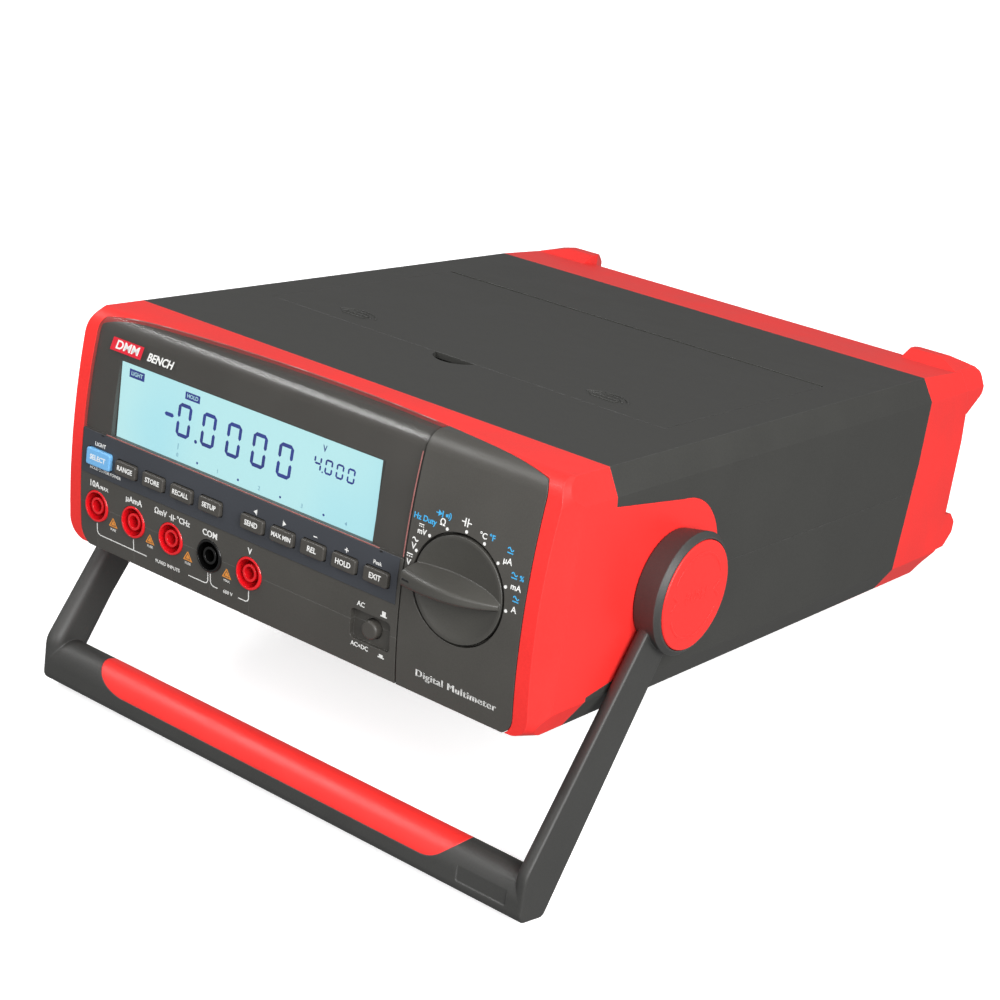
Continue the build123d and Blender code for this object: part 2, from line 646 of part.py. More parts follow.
def board_screws():
    screws = []
    top = BOARD_Z + BOARD_T
    for x in (-STANDOFF_X, STANDOFF_X):
        for y in STANDOFF_Y:
            screws.append(rod_z(x, y, WALL + 1, top, 1.25) + rod_z(x, y, top, top + 1.8, 2.6))
    return Compound(children=screws)


# ==========================================================================================
# Storage compartment in the top
# ==========================================================================================
def storage_tray():
    top = CASE_H - WALL - GAP
    tray = block(-LID_HALF - 2, LID_HALF + 2, LID_Y0 - 3, LID_Y1 + 3, TRAY_FLOOR_Z, top)
    tray += block(-14, 14, LID_Y0 - 14, LID_Y0, 86, top)
    inner = block(-LID_HALF + 3, LID_HALF - 3, LID_Y0 + 2, HINGE_Y - 5.5, TRAY_FLOOR_Z + TRAY_WALL,
                  top + 1)
    tray -= fillet(inner.edges().filter_by(Axis.Z), TRAY_CORNER_R)
    room = HINGE_R + 0.6
    tray -= block(-LID_HALF - 0.1, LID_HALF + 0.1, HINGE_Y - room, HINGE_Y + room, HINGE_Z - room,
                  top + 1)
    tray -= rod_z(0, LID_Y0 + 1, 88.5, top + 1, 10)
    return tray - rod_x(-LID_HALF - 3, LID_HALF + 3, HINGE_Y, HINGE_Z, HINGE_PIN_R + 0.1)


def lid():
    plate = block(-LID_HALF, LID_HALF, LID_Y0, HINGE_Y, CASE_H - LID_T, CASE_H)
    barrel = rod_x(-LID_HALF + 0.4, LID_HALF - 0.4, HINGE_Y, HINGE_Z, HINGE_R)
    cover = plate + barrel
    for y in (LID_Y0 + 6, HINGE_Y - 15):
        cover += block(-LID_HALF + 6, LID_HALF - 6, y, y + 2, CASE_H - LID_T - 3, CASE_H - 1)
    return cover - rod_x(-LID_HALF - 1, LID_HALF + 1, HINGE_Y, HINGE_Z, HINGE_PIN_R + 0.07)


def lid_hinge_pin():
    return rod_x(-LID_HALF - 1.9, LID_HALF + 1.9, HINGE_Y, HINGE_Z, HINGE_PIN_R)


# ==========================================================================================
# Rear panel and its connectors
# ==========================================================================================
def rear_panel():
    y0, y1 = REAR_PANEL_Y, REAR_PANEL_Y + 3
    panel = slab_y(rounded(-97.8, 97.8, 14.2, 83.8, 3.8), 302.8, y1)
    panel += block(-104, 104, 300.1, 302.9, 10, 88)
    panel -= block(-92, 92, 299, y0, 18, 80)
    panel -= block(INLET_X - 13.7, INLET_X + 13.7, 300, 312, PORT_Z - 10, PORT_Z + 10)
    panel -= block(ROCKER_X - 8.1, ROCKER_X + 8.1, 300, 312, PORT_Z - 11.1, PORT_Z + 11.1)
    panel -= block(SERIAL_X - 9.6, SERIAL_X + 9.6, 300, 312, PORT_Z - 5.6, PORT_Z + 5.6)
    panel -= block(USB_X - 6.1, USB_X + 6.1, 300, 312, PORT_Z - 5.6, PORT_Z + 5.6)
    for index in range(6):
        x = -50 + index * 20
        panel -= slab_y(Pos(x, 72) * SlotOverall(9, 2.4, rotation=90), 300, 312)
    return panel


def power_inlet():
    """Three-pin mains inlet, recessed for its plug."""
    y = REAR_PANEL_Y + 3
    flange = block(INLET_X - 15.7, INLET_X + 15.7, y, y + 2.4, PORT_Z - 12.2, PORT_Z + 12.2)
    body = block(INLET_X - 13.6, INLET_X + 13.6, y - 24, y + 0.01, PORT_Z - 9.9, PORT_Z + 9.9)
    inlet = flange + body
    recess = outline((INLET_X - 12, PORT_Z - 8.2), (INLET_X + 12, PORT_Z - 8.2),
                     (INLET_X + 12, PORT_Z + 4), (INLET_X + 8, PORT_Z + 8.2),
                     (INLET_X - 8, PORT_Z + 8.2), (INLET_X - 12, PORT_Z + 4))
    inlet -= slab_y(recess, y - 18, y + 4)
    for dx, dz in ((-7, -2), (7, -2), (0, 2)):
        inlet += block(INLET_X + dx - 1, INLET_X + dx + 1, y - 19, y - 5,
                       PORT_Z + dz - 2, PORT_Z + dz + 2)
    return inlet


def rocker_housing():
    y = REAR_PANEL_Y + 3
    frame = block(ROCKER_X - 9.5, ROCKER_X + 9.5, y, y + 2, PORT_Z - 12.5, PORT_Z + 12.5)
    frame += block(ROCKER_X - 8, ROCKER_X + 8, y - 16, y + 0.01, PORT_Z - 11, PORT_Z + 11)
    frame -= block(ROCKER_X - 6.8, ROCKER_X + 6.8, y - 14, y + 3, PORT_Z - 10, PORT_Z + 10)
    return frame - rod_x(ROCKER_X - 7.6, ROCKER_X + 7.6, y - 4, PORT_Z, 1.05)


def power_rocker():
    """Rocker with a shallow V face, tipped to one side, on its own trunnions."""
    y = REAR_PANEL_Y + 3
    tip = 2.4
    profile = outline((y - 9, PORT_Z), (y - 1.6, PORT_Z - 9.0), (y + 1.6, PORT_Z - 9.0),
                      (y + 0.9, PORT_Z), (y + 1.6 + tip, PORT_Z + 7.9),
                      (y - 1.6 + tip, PORT_Z + 7.9))
    rocker = slab_x(profile, ROCKER_X - ROCKER_HALF_W, ROCKER_X + ROCKER_HALF_W)
    return rocker + rod_x(ROCKER_X - 7.4, ROCKER_X + 7.4, y - 4, PORT_Z, 1.0)


def serial_port():
    """Nine-way socket in its metal shell, with two jack posts."""
    y = REAR_PANEL_Y + 3
    flange = block(SERIAL_X - 15.4, SERIAL_X + 15.4, y, y + 1, PORT_Z - 6.2, PORT_Z + 6.2)
    shell = outline((SERIAL_X - 8.4, PORT_Z + 4), (SERIAL_X + 8.4, PORT_Z + 4),
                    (SERIAL_X + 7.2, PORT_Z - 4), (SERIAL_X - 7.2, PORT_Z - 4))
    port = flange + slab_y(fillet(shell.vertices(), 1.6), y - 8, y + 5)
    for index in range(5):
        port -= rod_y(SERIAL_X - 5.5 + index * 2.75, y, y + 6, PORT_Z + 1.4, 0.5)
    for index in range(4):
        port -= rod_y(SERIAL_X - 4.1 + index * 2.75, y, y + 6, PORT_Z - 1.4, 0.5)
    for side in (-1, 1):
        port += rod_y(SERIAL_X + side * 12.5, y, y + 5, PORT_Z, 2.2)
    return port


def usb_port():
    y = REAR_PANEL_Y + 3
    port = block(USB_X - 6, USB_X + 6, y - 14, y + 1.2, PORT_Z - 5.5, PORT_Z + 5.5)
    port -= block(USB_X - 4.3, USB_X + 4.3, y - 9, y + 2, PORT_Z - 4, PORT_Z + 4)
    return port + block(USB_X - 2.8, USB_X + 2.8, y - 10, y - 4, PORT_Z - 1.6, PORT_Z + 1.6)


# ==========================================================================================
# Handle
# ==========================================================================================
def round_corners(face, points, radii):
    """Rounds the corners of a flat face that lie at the given points."""
    for point, r in zip(points, radii):
        nearest = min(face.vertices(), key=lambda v: hypot(v.X - point[0], v.Y - point[1]))
        face = fillet(nearest, r)
    return face


def along(start, end, distance):
    """Point on the line from start to end, a distance beyond end."""
    dy, dz = end[0] - start[0], end[1] - start[1]
    length = hypot(dy, dz)
    return (end[0] + dy / length * distance, end[1] + dz / length * distance)


def arm_ends():
    """Upper ends of an arm's front and rear lines, inside the hub."""
    front_top, _, rear_low, _ = BAR
    return along(front_top, (51.3, 30.3), 8), along(rear_low, (58.7, 7.0), 20)


def arm_section():
    """Side view of an arm with the end of the bar, drawn in YZ."""
    front_top, front_low, rear_low, _ = BAR
    arm_front, arm_rear = arm_ends()
    face = outline(arm_front, front_top, front_low, rear_low, arm_rear)
    radii = (ARM_KNEE_R, BAR_LOW_R, BAR_FOOT_R)
    return round_corners(face, (front_top, front_low, rear_low), radii)


def arm_outer():
    """Outer skin of an arm with the end of the bar."""
    skin = slab_x(arm_section(), ARM_SKIN_X, ARM_X1)
    return fillet(skin.edges().group_by(Axis.X)[-1], ARM_EDGE_R)


def arm_inner():
    """Inner part of an arm, down into the bar, with a round inner front edge."""
    front_top, front_low, rear_low, _ = BAR
    arm_front, arm_rear = arm_ends()
    foot_z = (front_top[1] + front_low[1]) / 2
    face = outline(arm_front, front_top, (front_top[0], foot_z), (BAR_INSIDE_Y, foot_z), arm_rear)
    arm = slab_x(round_corners(face, (front_top,), (ARM_KNEE_R,)), ARM_X0, ARM_SKIN_X)
    inner_front = arm.edges().group_by(Axis.X)[0].sort_by(Axis.Y)[0]
    return fillet(inner_front, ARM_INNER_R)


def bar_section():
    """Section of the bar between the arms, drawn in YZ."""
    return round_corners(outline(*BAR), BAR, (BAR_TOP_R, BAR_LOW_R, BAR_FOOT_R, BAR_BACK_R))


def handle_body():
    handle = slab_x(bar_section(), -ARM_SKIN_X, ARM_SKIN_X)
    handle += both_sides(arm_inner())
    handle += both_sides(arm_outer())
    for (x0, r0), (x1, r1) in zip(HUB_SHAPE, HUB_SHAPE[1:]):
        handle += both_sides(cone_x(x0, r0, x1, r1, PIVOT_Y, PIVOT_Z))
    cup = rod_x(124.5, 140, PIVOT_Y, PIVOT_Z, CAP_R + 0.3)
    bore = rod_x(110, 130, PIVOT_Y, PIVOT_Z, POST_R + 0.2)
    x0, x1, z0, z1 = PLATE
    plate = slab_y(rounded(x0, x1, z0, z1, 0.8), BAR[0][0] - 1, BAR[0][0] + 0.4)
    return handle - both_sides(cup) - both_sides(bore) - plate


def grip_space():
    """Skin of the bar's front and top, with one full round end and one slanted end."""
    section = bar_section()
    skin = section - offset(section, -GRIP_T)
    skin = skin & outline((-20, -40), (12.2, -40), (12.2, -52.2), (4, -57), (4, GRIP_LOW_Z),
                          (-20, GRIP_LOW_Z))
    low_left, low_right, shoulder = (-88, GRIP_LOW_Z), (84.5, GRIP_LOW_Z), (-102, -46.5)
    view = outline((-102, -40), (104, -40), (98, -46.5), low_right, low_left, shoulder)
    view = round_corners(view, (low_left, low_right, shoulder), (24.0, 14.0, 6.0))
    return slab_x(skin, -110, 110) & slab_y(view, -20, 40)


def hub_button(side):
    cap = rod_x(129.4, 132.7, PIVOT_Y, PIVOT_Z, CAP_R)
    cap = fillet(cap.edges().group_by(Axis.X)[-1], 0.6)
    cap += rod_x(128.8, 129.5, PIVOT_Y, PIVOT_Z, 9)
    return cap if side > 0 else mirror(cap, Plane.YZ)


def pivot_posts():
    """Fixed studs through the case sides that carry the handle."""
    post = rod_x(112.5, HALF_W - WALL - GAP, PIVOT_Y, PIVOT_Z, 17)
    post += rod_x(116, 124.55, PIVOT_Y, PIVOT_Z, POST_R)
    return both_sides(post - rod_x(110, 130, PIVOT_Y, PIVOT_Z, 3))


def hub_washers():
    """Washer and screw that hold each hub on its stud."""
    washer = rod_x(124.7, 126.2, PIVOT_Y, PIVOT_Z, 16) + rod_x(112, 125, PIVOT_Y, PIVOT_Z, 2.9)
    washer += rod_x(126.1, 126.6, PIVOT_Y, PIVOT_Z, 5)
    return both_sides(washer)


def hub_springs():
    """Wave springs under the hub buttons, drawn at their working height."""
    spring = rod_x(126.3, 127.2, PIVOT_Y, PIVOT_Z, 15) - rod_x(126, 128, PIVOT_Y, PIVOT_Z, 12)
    return both_sides(spring)


# ==========================================================================================
# Assembly, tipped onto the handle
# ==========================================================================================
def standing_angle():
    """Tilt of the line that touches the bar's round lower edge and the rear feet."""
    rounding = arm_section().edges().filter_by(GeomType.CIRCLE).sort_by(Axis.Y)[0]
    centre = rounding.arc_center
    dy = FOOT_Y[1] + FOOT_R - centre.X
    dz = -FOOT_H - centre.Y
    return atan2(dz, dy) + asin(BAR_FOOT_R / hypot(dy, dz))


handle = handle_body()
grip = grip_space()

nodes = {
    "bottom_shell": bottom_shell(),
    "top_shell": top_shell(),
    "front_bezel": front_bezel(),
    "rear_bezel": rear_bezel(),
    "feet": feet(),
    "input_panel": input_panel(),
    "range_panel": range_panel(),
    "keypad_overlay": keypad_overlay(),
    "display_lens": display_lens(),
    "lcd_glass": lcd_glass(),
    "lcd_frame": lcd_frame(),
    "backlight": backlight(),
    "display_board": display_board(),
    "key_mat": key_mat(),
    "jack_sleeves": jack_sleeves(),
    "acdc_button": acdc_button(),
    "acdc_switch": acdc_switch(),
    "range_knob": range_knob(),
    "knob_rotor": knob_rotor(),
    "detent_spring": detent_spring(),
    "switch_board": switch_board(),
    "main_board": main_board(),
    "fuses": fuses(),
    "fuse_clips": fuse_clips(),
    "transformer": transformer(),
    "battery_pack": battery_pack(),
    "battery_door": battery_door(),
    "case_screws": case_screws(),
    "board_screws": board_screws(),
    "storage_tray": storage_tray(),
    "lid": lid(),
    "lid_hinge_pin": lid_hinge_pin(),
    "rear_panel": rear_panel(),
    "power_inlet": power_inlet(),
    "rocker_housing": rocker_housing(),
    "power_rocker": power_rocker(),
    "serial_port": serial_port(),
    "usb_port": usb_port(),
    "handle_frame": handle - grip,
    "handle_grip": grip,
    "hub_button_left": hub_button(-1),
    "hub_button_right": hub_button(1),
    "pivot_posts": pivot_posts(),
    "hub_washers": hub_washers(),
    "hub_springs": hub_springs(),
}
for name, x, (width, height) in key_places():
    nodes[f"key_{name}"] = push_key(x, width, height)
for name, x in jack_places():
    nodes[name] = jack(x)

tilt = degrees(standing_angle())
tipped = {name: Rot(-tilt, 0, 0) * shape for name, shape in nodes.items()}
box = Compound(list(tipped.values())).bounding_box()
shift = (-(box.min.X + box.max.X) / 2, -(box.min.Y + box.max.Y) / 2, -box.min.Z)
for name, shape in tipped.items():
    export_step(Pos(*shift) * shape, f"parts/{name}.step")
print("tilt_deg", tilt, "shift_mm", shift, "size_mm", box.size)
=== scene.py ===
import json
import math

import bmesh
import bpy
from mathutils import Matrix, Vector
from mathutils.bvhtree import BVHTree


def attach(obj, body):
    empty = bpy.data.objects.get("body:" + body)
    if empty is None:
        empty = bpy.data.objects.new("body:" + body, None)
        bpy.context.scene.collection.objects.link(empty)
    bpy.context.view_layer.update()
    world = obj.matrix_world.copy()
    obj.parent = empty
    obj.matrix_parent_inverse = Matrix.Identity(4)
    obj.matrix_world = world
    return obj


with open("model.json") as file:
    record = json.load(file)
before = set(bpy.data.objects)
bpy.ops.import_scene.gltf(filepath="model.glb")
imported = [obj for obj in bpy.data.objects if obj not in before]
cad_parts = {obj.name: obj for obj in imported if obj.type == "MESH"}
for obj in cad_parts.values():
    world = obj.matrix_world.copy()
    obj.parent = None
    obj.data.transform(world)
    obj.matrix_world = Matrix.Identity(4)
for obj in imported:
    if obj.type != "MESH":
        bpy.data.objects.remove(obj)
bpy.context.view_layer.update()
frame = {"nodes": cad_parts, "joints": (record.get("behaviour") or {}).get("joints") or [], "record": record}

# The instrument leans back on its handle, so its own directions are tipped in the row frame.
# Everything added here is laid out in a level frame in millimetres: X to the right, Y from
# the front panel to the rear, Z up, with the origin under the middle of the front panel.
MM = 0.001
JOINTS = {joint["name"]: joint for joint in frame["joints"]}
ACROSS = Vector((1, 0, 0))
BACK = Vector(JOINTS["range_switch_turn"]["axis"]).normalized()
UP = ACROSS.cross(BACK)
PIVOT_Y, PIVOT_Z = 72.5, 44.5       # the handle's axis
ORIGIN = Vector(JOINTS["handle_swing"]["pos_m"]) - BACK * PIVOT_Y * MM - UP * PIVOT_Z * MM
LEVEL = Matrix((
    (ACROSS.x * MM, BACK.x * MM, UP.x * MM, ORIGIN.x),
    (ACROSS.y * MM, BACK.y * MM, UP.y * MM, ORIGIN.y),
    (ACROSS.z * MM, BACK.z * MM, UP.z * MM, ORIGIN.z),
    (0, 0, 0, 1),
))
TO_LEVEL = LEVEL.inverted()


def level_box(node):
    """Lowest and highest corner of a CAD node in the level frame."""
    points = [TO_LEVEL @ v.co for v in frame["nodes"][node].data.vertices]
    low = Vector([min(p[i] for p in points) for i in range(3)])
    high = Vector([max(p[i] for p in points) for i in range(3)])
    return low, high


def middle(node):
    low, high = level_box(node)
    return (low + high) / 2


# ------------------------------------------------------------------------------------------
# Camera, light and floor
# ------------------------------------------------------------------------------------------
CAMERA_AT = Vector((475.778, -545.372, 303.300))
CAMERA_RIGHT = Vector((0.78253177, 0.60719534, 0.13768752))
CAMERA_DOWN = Vector((0.29831566, -0.17154828, -0.93892436))
CAMERA_LOOK = Vector((-0.54649044, 0.77581248, -0.31537785))
SENSOR, FOCAL_LENGTH = 36, 74.40
LIGHT_AIM = Vector((0, 0, 0.07))    # middle of the instrument, in the row frame
LIGHTS = (                          # name, place, size and power
    ("key", (1.05, -0.45, 0.72), (0.8, 0.8), 22),
    ("front", (0.25, -1.6, 0.9), (1.2, 1.0), 9),
    ("top", (0.3, 0.3, 1.6), (1.2, 1.2), 2),
    ("left", (-0.66, -0.36, 1.0), (0.7, 0.2), 5),
)
WORLD_STRENGTH = 0.30
FLOOR_HALF = 6.0
FLOOR_DROP = 0.0003                 # keeps the floor clear of the handle's underside


def turned(direction):
    """A level-frame direction in the row frame."""
    return (ACROSS * direction.x + BACK * direction.y + UP * direction.z).normalized()


def make_camera():
    data = bpy.data.cameras.new("camera")
    data.sensor_width = SENSOR
    data.lens = FOCAL_LENGTH
    data.clip_start = 0.01
    data.clip_end = 30
    camera = bpy.data.objects.new("camera", data)
    bpy.context.scene.collection.objects.link(camera)
    right = turned(CAMERA_RIGHT)
    up = turned(-CAMERA_DOWN)
    back = turned(-CAMERA_LOOK)
    at = LEVEL @ CAMERA_AT
    camera.matrix_world = Matrix((
        (right.x, up.x, back.x, at.x),
        (right.y, up.y, back.y, at.y),
        (right.z, up.z, back.z, at.z),
        (0, 0, 0, 1),
    ))
    bpy.context.scene.camera = camera


def make_light(name, at, size, power):
    """Soft rectangular light that faces the instrument."""
    data = bpy.data.lights.new(name, "AREA")
    data.shape = "RECTANGLE"
    data.size, data.size_y = size
    data.energy = power
    light = bpy.data.objects.new(name, data)
    bpy.context.scene.collection.objects.link(light)
    light.location = at
    light.rotation_euler = (LIGHT_AIM - Vector(at)).to_track_quat("-Z", "Y").to_euler()


def make_world():
    """Even white surroundings, shown without a film curve."""
    world = bpy.data.worlds.new("studio")
    world.use_nodes = True
    background = world.node_tree.nodes["Background"]
    background.inputs["Color"].default_value = (1, 1, 1, 1)
    background.inputs["Strength"].default_value = WORLD_STRENGTH
    bpy.context.scene.world = world
    bpy.context.scene.view_settings.view_transform = "Standard"


def make_floor():
    """Pale floor that glows a little, so that it stays plain behind the instrument."""
    mesh = bpy.data.meshes.new("floor")
    corners = [(-FLOOR_HALF, -FLOOR_HALF), (FLOOR_HALF, -FLOOR_HALF), (FLOOR_HALF, FLOOR_HALF),
               (-FLOOR_HALF, FLOOR_HALF)]
    mesh.from_pydata([(x, y, 0) for x, y in corners], [], [(0, 1, 2, 3)])
    floor = bpy.data.objects.new("floor", mesh)
    bpy.context.scene.collection.objects.link(floor)
    floor.location.z = -FLOOR_DROP
    floor.visible_glossy = False
    floor.visible_diffuse = False
    pale = Surface("floor")
    pale.set(Base_Color=(0.90, 0.90, 0.90, 1), Roughness=0.9, Specular_IOR_Level=0.1,
             Emission_Color=(1, 1, 1, 1), Emission_Strength=0.62)
    mesh.materials.append(pale.material)


# ------------------------------------------------------------------------------------------
# Materials
# ------------------------------------------------------------------------------------------
class Surface:
    """One material's node tree, with the few steps that all the finishes share."""

    def __init__(self, name):
        self.material = bpy.data.materials.new(name)
        self.material.use_nodes = True
        self.nodes = self.material.node_tree.nodes
        self.nodes.clear()
        self.shader = self.add("ShaderNodeBsdfPrincipled")
        output = self.add("ShaderNodeOutputMaterial")
        self.link(self.shader.outputs["BSDF"], output.inputs["Surface"])
        self.where = self.add("ShaderNodeTexCoord").outputs["Object"]

    def add(self, kind, **settings):
        node = self.nodes.new(kind)
        for key, value in settings.items():
            setattr(node, key, value)
        return node

    def link(self, start, end):
        self.material.node_tree.links.new(start, end)

    def feed(self, socket, value):
        if isinstance(value, bpy.types.NodeSocket):
            self.link(value, socket)
        else:
            socket.default_value = value

    def noise(self, size, detail=2.0, stretch=None):
        """Cloudy noise from 0 to 1 with features of a size in millimetres."""
        where = self.where
        if stretch:
            mapping = self.add("ShaderNodeMapping")
            self.link(where, mapping.inputs["Vector"])
            mapping.inputs["Scale"].default_value = stretch
            where = mapping.outputs["Vector"]
        node = self.add("ShaderNodeTexNoise")
        self.link(where, node.inputs["Vector"])
        node.inputs["Scale"].default_value = 1 / (size * MM)
        node.inputs["Detail"].default_value = detail
        return node.outputs["Fac"]

    def cells(self, size):
        """Distance to the nearest cell centre, for pebbled moulding texture."""
        node = self.add("ShaderNodeTexVoronoi")
        self.link(self.where, node.inputs["Vector"])
        node.inputs["Scale"].default_value = 1 / (size * MM)
        return node.outputs["Distance"]

    def spread(self, value, low, high, to_low=0.0, to_high=1.0):
        """value taken from the range low..high to the range to_low..to_high, and held there."""
        node = self.add("ShaderNodeMapRange")
        for name, number in (("From Min", low), ("From Max", high),
                             ("To Min", to_low), ("To Max", to_high)):
            node.inputs[name].default_value = number
        self.feed(node.inputs["Value"], value)
        return node.outputs["Result"]

    def times(self, a, b):
        node = self.add("ShaderNodeMath", operation="MULTIPLY")
        self.feed(node.inputs[0], a)
        self.feed(node.inputs[1], b)
        return node.outputs["Value"]

    def mix(self, share, a, b):
        """Colour a turning into colour b."""
        node = self.add("ShaderNodeMix", data_type="RGBA")
        self.feed(node.inputs["Factor"], share)
        self.feed(node.inputs["A"], a)
        self.feed(node.inputs["B"], b)
        return node.outputs["Result"]

    def soft_edges(self, radius):
        """Rounded normal at sharp edges, and a mask that is 1 on them."""
        bevel = self.add("ShaderNodeBevel", samples=6)
        bevel.inputs["Radius"].default_value = radius * MM
        geometry = self.add("ShaderNodeNewGeometry")
        dot = self.add("ShaderNodeVectorMath", operation="DOT_PRODUCT")
        self.link(bevel.outputs["Normal"], dot.inputs[0])
        self.link(geometry.outputs["Normal"], dot.inputs[1])
        return bevel.outputs["Normal"], self.spread(dot.outputs["Value"], 0.995, 0.86)

    def relief(self, layers, normal=None):
        """Bump from (height from 0 to 1, depth in millimetres) layers."""
        for height, depth in layers:
            bump = self.add("ShaderNodeBump")
            self.feed(bump.inputs["Height"], height)
            bump.inputs["Distance"].default_value = depth * MM
            bump.inputs["Strength"].default_value = 1.0
            if normal is not None:
                self.link(normal, bump.inputs["Normal"])
            normal = bump.outputs["Normal"]
        self.link(normal, self.shader.inputs["Normal"])

    def set(self, **values):
        for key, value in values.items():
            self.feed(self.shader.inputs[key.replace("_", " ")], value)


def shade(color, factor):
    """A colour made lighter or darker."""
    return tuple(min(1.0, c * factor) for c in color[:3]) + (1.0,)


def moulded(name, color, rough, grain=0.45, depth=0.012, wear=0.35, edge=0.35, gloss=0.5,
            swell=0.02):
    """Injection-moulded plastic: fine grain, faint mottling, and polished, paler edges."""
    s = Surface(name)
    normal, on_edge = s.soft_edges(edge)
    broad = s.noise(28, 3)
    fine = s.noise(grain * 1.6, 2)
    worn = s.times(on_edge, s.spread(s.noise(3.5, 3), 0.35, 0.7, 0.25, wear * 2))
    base = s.mix(s.spread(broad, 0.3, 0.7), shade(color, 0.93), shade(color, 1.06))
    speckled = s.mix(s.spread(fine, 0.35, 0.65, 0.0, 0.22), base, shade(color, 1.5))
    pale = tuple(c + (0.42 - c) * 0.35 for c in color[:3]) + (1.0,)
    final = s.mix(s.times(worn, 0.55), speckled, pale)
    s.set(Base_Color=final, Specular_IOR_Level=gloss)
    patchy = s.spread(broad, 0.3, 0.7, rough - 0.04, rough + 0.05)
    rougher = s.add("ShaderNodeMath", operation="SUBTRACT")
    s.link(patchy, rougher.inputs[0])
    s.link(s.times(worn, 0.15), rougher.inputs[1])
    s.set(Roughness=rougher.outputs["Value"])
    s.relief([(s.cells(grain), depth), (fine, depth * 0.8), (s.noise(14, 2), swell)], normal)
    return s.material


def glossy(name, color, rough=0.16, edge=0.3, coat=0.0):
    """Polished plastic with faint flow marks and fine scratches."""
    s = Surface(name)
    normal, on_edge = s.soft_edges(edge)
    flow = s.noise(9, 3)
    scratch = s.noise(0.5, 4, stretch=(1, 9, 1))
    base = s.mix(s.spread(flow, 0.3, 0.7), shade(color, 0.88), shade(color, 1.08))
    s.set(Base_Color=s.mix(s.times(on_edge, 0.35), base, shade(color, 1.5)))
    s.set(Roughness=s.spread(scratch, 0.35, 0.75, rough, rough + 0.14), Coat_Weight=coat)
    s.relief([(flow, 0.02), (scratch, 0.003)], normal)
    return s.material


def metal(name, color, rough=0.3, stretch=(1, 1, 14)):
    """Plated or turned metal with tool marks and dulled patches."""
    s = Surface(name)
    normal, on_edge = s.soft_edges(0.25)
    marks = s.noise(1.2, 3, stretch=stretch)
    dull = s.noise(6, 4)
    base = s.mix(s.spread(dull, 0.4, 0.7), shade(color, 1.0), shade(color, 0.72))
    s.set(Base_Color=s.mix(s.times(on_edge, 0.4), base, shade(color, 1.25)), Metallic=1.0)
    s.set(Roughness=s.spread(marks, 0.3, 0.7, rough - 0.06, rough + 0.12))
    s.relief([(marks, 0.01)], normal)
    return s.material


def rubber(name, color):
    """Matt rubber with a dusty bloom."""
    s = Surface(name)
    normal, on_edge = s.soft_edges(0.5)
    dust = s.noise(5, 4)
    base = s.mix(s.spread(dust, 0.45, 0.75, 0, 0.5), shade(color, 1.0), shade(color, 2.0))
    s.set(Base_Color=s.mix(s.times(on_edge, 0.4), base, shade(color, 1.8)))
    s.set(Roughness=s.spread(dust, 0.3, 0.7, 0.7, 0.88), Sheen_Weight=0.15)
    s.relief([(s.noise(0.6, 2), 0.02)], normal)
    return s.material


def film(name, color):
    """Matt printed polyester film."""
    s = Surface(name)
    normal, on_edge = s.soft_edges(0.15)
    weave = s.noise(0.3, 1)
    broad = s.noise(35, 2)
    base = s.mix(s.spread(broad, 0.3, 0.7), shade(color, 0.94), shade(color, 1.07))
    s.set(Base_Color=s.mix(s.times(on_edge, 0.3), base, shade(color, 1.8)))
    s.set(Roughness=s.spread(weave, 0.3, 0.7, 0.38, 0.5), Specular_IOR_Level=0.4)
    s.relief([(weave, 0.004), (broad, 0.05)], normal)
    return s.material


def board(name, color):
    """Circuit board: solder mask over a faint grid of tracks."""
    s = Surface(name)
    brick = s.add("ShaderNodeTexBrick")
    s.link(s.where, brick.inputs["Vector"])
    brick.inputs["Scale"].default_value = 160
    brick.inputs["Color1"].default_value = shade(color, 1.0)
    brick.inputs["Color2"].default_value = shade(color, 1.25)
    brick.inputs["Mortar"].default_value = shade(color, 1.9)
    brick.inputs["Mortar Size"].default_value = 0.03
    base = s.mix(s.spread(s.noise(8, 3), 0.4, 0.6, 0, 0.5), brick.outputs["Color"], shade(color, 0.8))
    s.set(Base_Color=base, Roughness=s.spread(s.noise(2, 2), 0.3, 0.7, 0.25, 0.4))
    s.relief([(brick.outputs["Fac"], 0.03)])
    return s.material


def clear(name, color, alpha, rough=0.05):
    """Clear moulding with faint wipe marks."""
    s = Surface(name)
    wipes = s.noise(2.5, 4, stretch=(1, 1, 5))
    tint = s.mix(s.spread(s.noise(30, 2), 0.3, 0.7), shade(color, 0.9), shade(color, 1.1))
    s.set(Base_Color=tint, Alpha=alpha, Specular_IOR_Level=1.0)
    s.set(Roughness=s.spread(wipes, 0.35, 0.75, rough, rough + 0.12))
    s.relief([(s.noise(30, 1), 0.006)])
    return s.material


def lit(name, color, strength, edge_color, size=60):
    """Evenly lit panel, a little deeper in patches away from the lamps."""
    s = Surface(name)
    cloud = s.noise(size, 1)
    glow = s.mix(s.spread(cloud, 0.42, 0.66), color, edge_color)
    s.set(Base_Color=shade(color, 0.15), Emission_Color=glow, Emission_Strength=strength)
    s.set(Roughness=s.spread(s.noise(1, 2), 0.3, 0.7, 0.45, 0.6), Specular_IOR_Level=0.1)
    return s.material


def ink(name, color):
    """Screen-printed ink, slightly uneven."""
    s = Surface(name)
    patch = s.noise(0.7, 3)
    s.set(Base_Color=s.mix(s.spread(patch, 0.35, 0.7), shade(color, 1.0), shade(color, 0.82)))
    s.set(Roughness=s.spread(patch, 0.3, 0.7, 0.42, 0.6), Specular_IOR_Level=0.3)
    s.relief([(patch, 0.004)])
    return s.material


CASE_GREY = (0.038, 0.038, 0.035)
PANEL_GREY = (0.058, 0.055, 0.049)
RED = (0.85, 0.030, 0.026)

